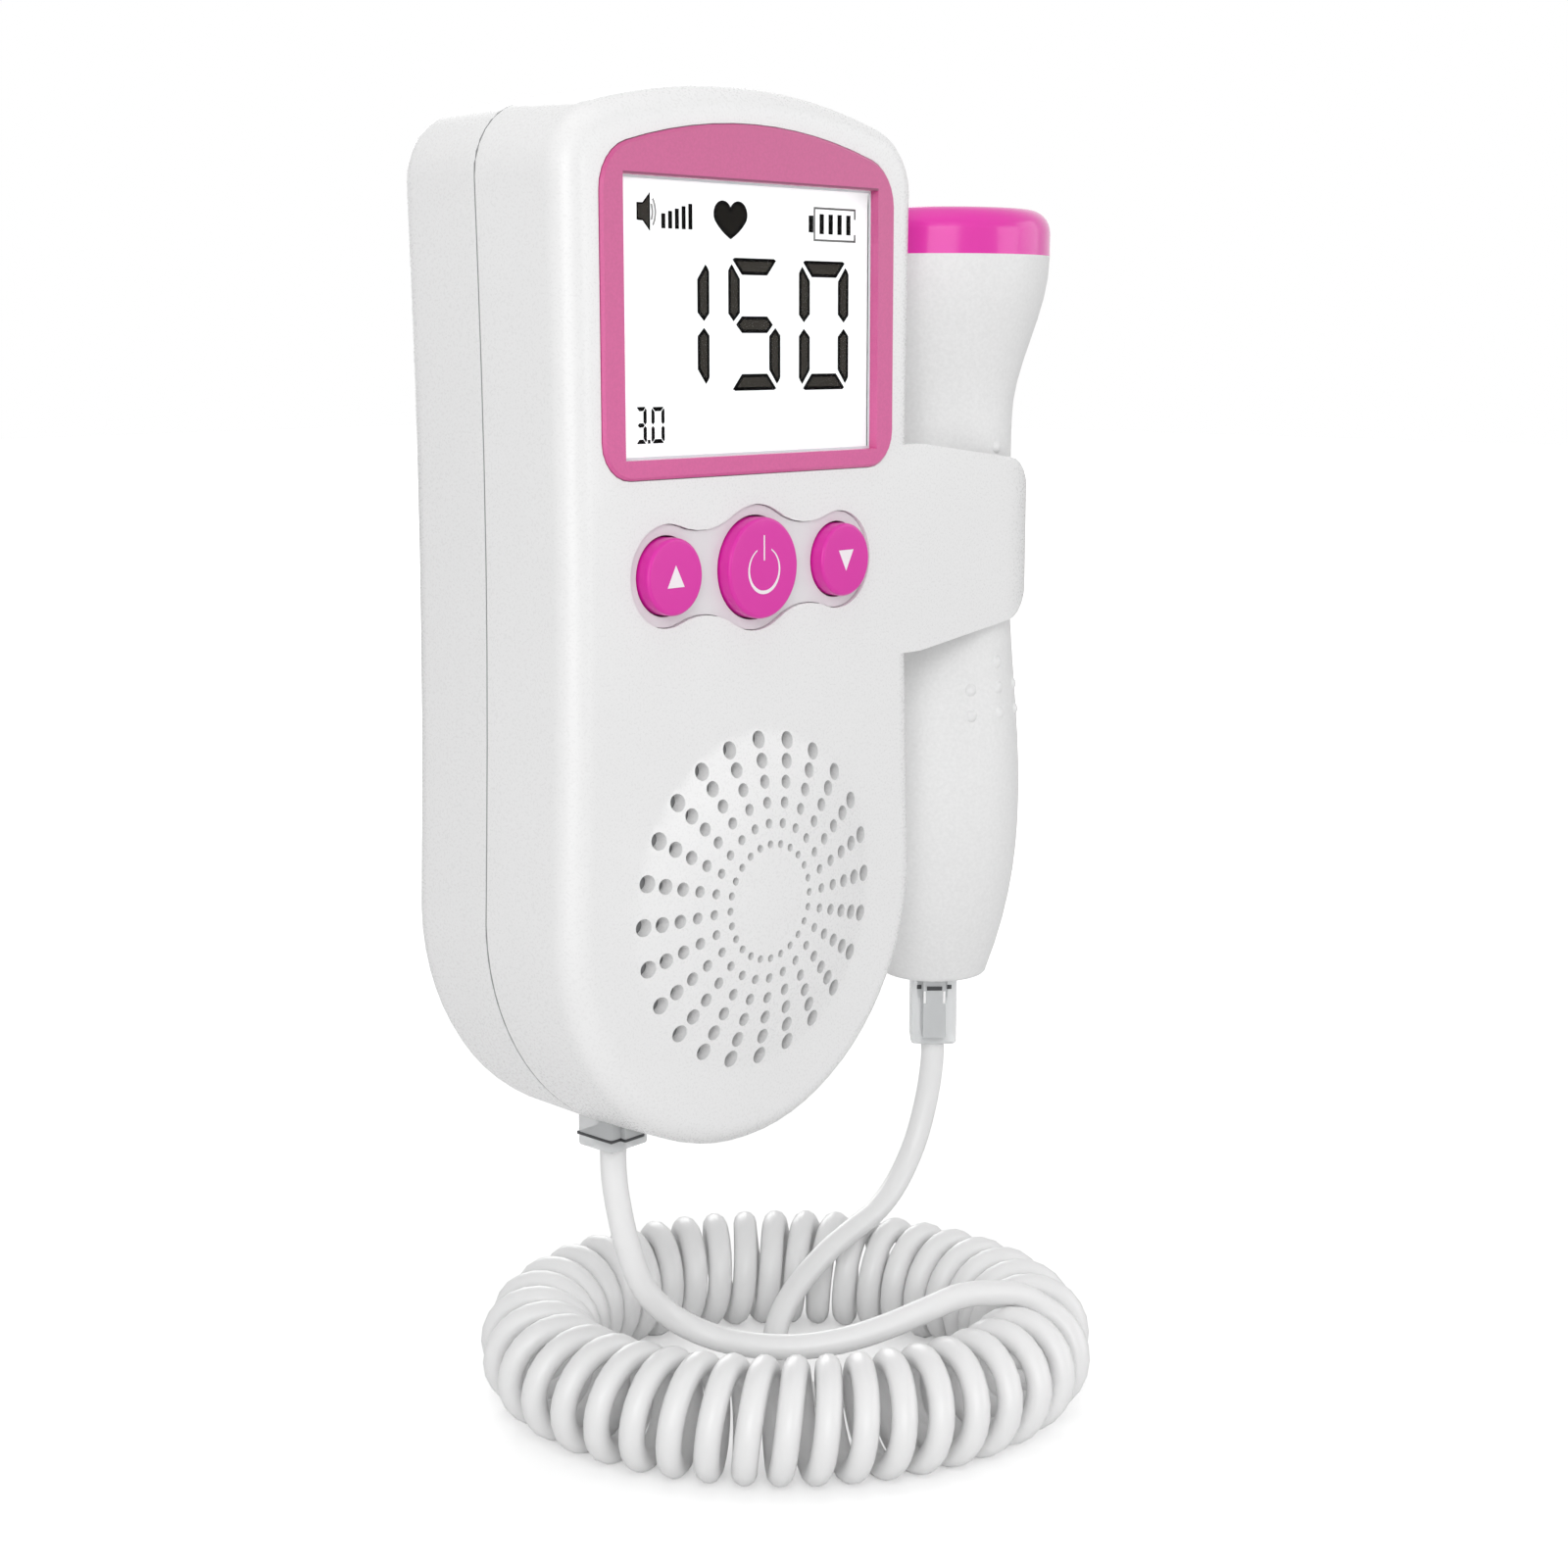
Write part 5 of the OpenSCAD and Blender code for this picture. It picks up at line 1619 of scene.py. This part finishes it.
@dataclass
class ModularPlug:
    """A clear modular plug: body, latch, contacts, wires and dark marks of painted shade, laid out
    as the bar of its cord's strain relief.

    Its own frame has the cord's exit at the origin, +Z into the socket and the latch at -Y.
    """

    node: str
    body: Body
    at: Place
    turn: float
    wide: float = 6.8
    deep: float = 6.4
    long: float = 16.0
    edge: float = 0.45
    mouth_rim: float = 1.2
    mouth_deep: float = 0.8
    latch_wide: float = 3.4
    latch_thick: float = 0.9
    latch_z: Flat = (1.2, 12.2)
    latch_edge: float = 0.15
    wires: int = 4
    wire_pitch: float = 1.25
    wire_r: float = 0.42
    wire_long: float = 8.0
    wire_at: Flat = (0.6, 10.2)
    wire_edge: float = 0.12
    # Contacts: half width, then how far they lie under the +Y side and the top end
    contact_half: float = 0.22
    contact_deep: Flat = (1.4, 0.15)
    contact_down: Flat = (3.9, 0.1)
    contact_edge: float = 0.06
    # The cord's flattened end
    jacket: tuple[Place, Place] = ((-1.9, -1.2, 0.9), (1.9, 1.2, 6.5))
    jacket_edge: float = 0.6
    # Dark marks of painted shade, laid out as the strain-relief bar: X and Y of each from and to,
    # all between two heights
    lock_shade_z: Flat = (8.6, 9.25)
    lock_shade_at: tuple[tuple[float, float, float, float], ...] = (
        (-2.6, -1.9, -3.26, -3.1), (-1.15, 1.15, -4.16, -4.0), (1.9, 2.6, -3.26, -3.1),
    )
    trim_edge: float = 0.04
    # Slots along the latch's edges, seen as light lines
    slots: tuple[float, ...] = (-1.45, 1.45)
    slot_half: float = 0.16
    slot_from_z: float = 6.6
    slot_under_lock_shade: float = 0.1
    slot_deep: Flat = (0.05, 0.1)

    def block(self, low: Place, high: Place, edge: float) -> bpy.types.Object:
        """A box between two corners of the plug's own frame, with its edges bevelled.

        Args:
            low: the lowest corner in millimetres.
            high: the highest corner in millimetres.
            edge: the width of the bevel in millimetres.

        Returns:
            The box.
        """
        deselect()
        middle = [(a + b) / 2 * MM for a, b in zip(low, high)]
        bpy.ops.mesh.primitive_cube_add(size=1.0, location=middle)
        box = bpy.context.object
        box.scale = [(b - a) * MM for a, b in zip(low, high)]
        place_in_mesh(box)
        modify(box, "BEVEL", width=edge * MM, segments=2, limit_method="ANGLE")
        return box

    def seat(self, piece: bpy.types.Object, part: str, finish: bpy.types.Material) -> None:
        """Dresses a piece, turns it from the plug's own frame to its place and finishes it.

        Args:
            piece: the piece in the plug's own frame.
            part: what the piece's name adds to the plug's.
            finish: the material that it wears.
        """
        wear(piece, finish)
        place_in_mesh(piece)
        piece.location = point(*self.at)
        piece.rotation_euler = (0, 0, math.radians(self.turn))
        finish_piece(piece, f"{self.node}_{part}", self.body)

    def build(self, materials: dict[str, bpy.types.Material]) -> None:
        """Makes the plug's pieces.

        Args:
            materials: the finishes by name: clear, gold, wire, lock and light.
        """
        w, d = self.wide / 2, self.deep / 2
        shell = self.block((-w, -d, 0), (w, d, self.long), self.edge)
        pick_faces(shell, lambda face: face.normal.z < -0.9)
        bpy.ops.mesh.inset(thickness=self.mouth_rim * MM)
        bpy.ops.mesh.extrude_region_move(
            TRANSFORM_OT_translate={"value": (0, 0, self.mouth_deep * MM)}
        )
        bpy.ops.object.mode_set(mode="OBJECT")
        self.seat(shell, "shell", materials["clear"])
        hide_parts(self.node)
        latch = self.latch()
        self.seat(latch, "latch_lever", materials["clear"])
        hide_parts(f"{self.node}_latch")
        contacts = self.contacts()
        self.seat(contacts, "contacts", materials["gold"])
        lock_shade = self.lock_shade()
        self.seat(lock_shade, "lock_shade_marks", materials["lock_shade"])
        for i, x in enumerate(self.slots):
            gap = self.slot(x)
            self.seat(gap, f"latch_slot_{i + 1}", materials["light"])
        core = self.core()
        self.seat(core, "wires", materials["wire"])

    def wires_x(self) -> list[float]:
        """Where the wires and contacts lie across the plug."""
        return [(i - (self.wires - 1) / 2) * self.wire_pitch for i in range(self.wires)]

    def latch(self) -> bpy.types.Object:
        """The springy lever on the plug's -Y side.

        Returns:
            The lever in the plug's own frame.
        """
        w, d = self.latch_wide / 2, self.deep / 2
        low, high = self.latch_z
        return self.block((-w, -d - self.latch_thick, low), (w, -d, high), self.latch_edge)

    def contacts(self) -> bpy.types.Object:
        """The four blades near the plug's top end.

        Returns:
            The blades as one mesh in the plug's own frame.
        """
        half, side = self.contact_half, self.deep / 2
        (in_low, in_high), (down_low, down_high) = self.contact_deep, self.contact_down
        return joined([
            self.block(
                (x - half, side - in_low, self.long - down_low),
                (x + half, side - in_high, self.long - down_high),
                self.contact_edge,
            )
            for x in self.wires_x()
        ])

    def lock_shade(self) -> bpy.types.Object:
        """Dark marks of painted shade near the socket's mouth, laid out as the cord's strain-relief
        bar inside the plug.

        Returns:
            The marks as one mesh in the plug's own frame.
        """
        z0, z1 = self.lock_shade_z
        return joined([
            self.block((x0, y0, z0), (x1, y1, z1), self.trim_edge)
            for x0, x1, y0, y1 in self.lock_shade_at
        ])

    def slot(self, x: float) -> bpy.types.Object:
        """One light line near an edge of the latch, just proud of its face.

        Args:
            x: where its middle lies across the plug.

        Returns:
            The line in the plug's own frame.
        """
        half, face = self.slot_half, -self.deep / 2 - self.latch_thick
        proud, sunk = self.slot_deep
        return self.block(
            (x - half, face - proud, self.slot_from_z),
            (x + half, face + sunk, self.lock_shade_z[0] - self.slot_under_lock_shade),
            self.trim_edge,
        )

    def core(self) -> bpy.types.Object:
        """The cord's flattened end and four wires inside the clear body.

        Returns:
            Both as one mesh in the plug's own frame.
        """
        parts = [self.block(*self.jacket, self.jacket_edge)]
        for x in self.wires_x():
            deselect()
            bpy.ops.mesh.primitive_cylinder_add(
                vertices=12,
                radius=self.wire_r * MM,
                depth=self.wire_long * MM,
                location=point(x, *self.wire_at),
            )
            wire = bpy.context.object
            modify(wire, "BEVEL", width=self.wire_edge * MM, segments=2, limit_method="ANGLE")
            parts.append(wire)
        return joined(parts)


# ------------------------------------------------------------------ inside


class Inside(Enum):
    """Finishes of the pieces inside, which keep the model's own meshes."""

    BOARD = ("main_board", "socket_board", "probe_board")
    CHIP = ("board_chips",)
    STEEL = ("board_screws", "shell_screws", "key_switches")
    BLACK = ("up_plunger", "power_plunger", "down_plunger", "earphone_socket")
    SOCKET = ("probe_socket", "probe_jack")
    CONE = ("speaker_cone",)
    BASKET = ("speaker_frame",)
    MAGNET = ("speaker_magnet",)
    NICKEL = ("battery_springs", "battery_plates")
    GUIDE = ("backlight",)
    GLASS = ("lcd_glass",)
    RUBBER = ("lcd_connectors",)
    SILVER = ("piezo_crystal",)
    RESIN = ("crystal_backing",)
    CELL_LEFT = ("battery_left",)
    CELL_RIGHT = ("battery_right",)


def dress_inside(frame: dict) -> None:
    """Gives each piece inside its real finish.

    Args:
        frame: the loaded model.
    """
    finishes = {
        Inside.BOARD: BOARD, Inside.CHIP: CHIP, Inside.STEEL: STEEL, Inside.BLACK: BLACK,
        Inside.SOCKET: SOCKET, Inside.CONE: CONE, Inside.BASKET: BASKET, Inside.MAGNET: MAGNET,
        Inside.NICKEL: NICKEL, Inside.GUIDE: LIGHT_GUIDE, Inside.GLASS: GLASS,
        Inside.RUBBER: RUBBER, Inside.SILVER: SILVER, Inside.RESIN: RESIN,
        Inside.CELL_LEFT: SLEEVE_LEFT, Inside.CELL_RIGHT: SLEEVE_RIGHT,
    }
    for group in Inside:
        material = finishes[group].build()
        for name in group.value:
            wear(frame["nodes"][name], material)
            log.info("dressed %s in %s", name, material.name)


def main() -> None:
    """Builds the scene in order."""
    logging.basicConfig(level=logging.INFO, format="%(message)s")
    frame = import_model()
    studio = Studio()
    studio.place_camera()
    cord = ProbeCord()
    cord.build()
    studio.lay_floor()
    studio.light()
    Casing(frame).build()
    Display(frame).build()
    Keypad(frame).build()
    Probe(frame).build()
    finishes = {
        "clear": PLUG.build(),
        "gold": GOLD.build(),
        "wire": WIRE.build(),
        "lock_shade": LOCK_SHADE.build(),
        "light": GAP.build(),
    }
    # Little of the unit's plug shows: a dark band of painted shade runs round it, and it gets no
    # slots
    unit_plug = ModularPlug(
        "unit_plug",
        Body.UNIT,
        cord.unit_exit,
        0,
        lock_shade_z=(1.5, 1.9),
        lock_shade_at=((-3.46, 3.46, -3.26, 3.26), (-1.76, 1.76, -4.16, -3.3)),
        slots=(),
    )
    unit_plug.build(finishes)
    ModularPlug("probe_plug", Body.PROBE, cord.probe_exit, -48).build(finishes)
    dress_inside(frame)


if __name__ == "__main__":
    main()
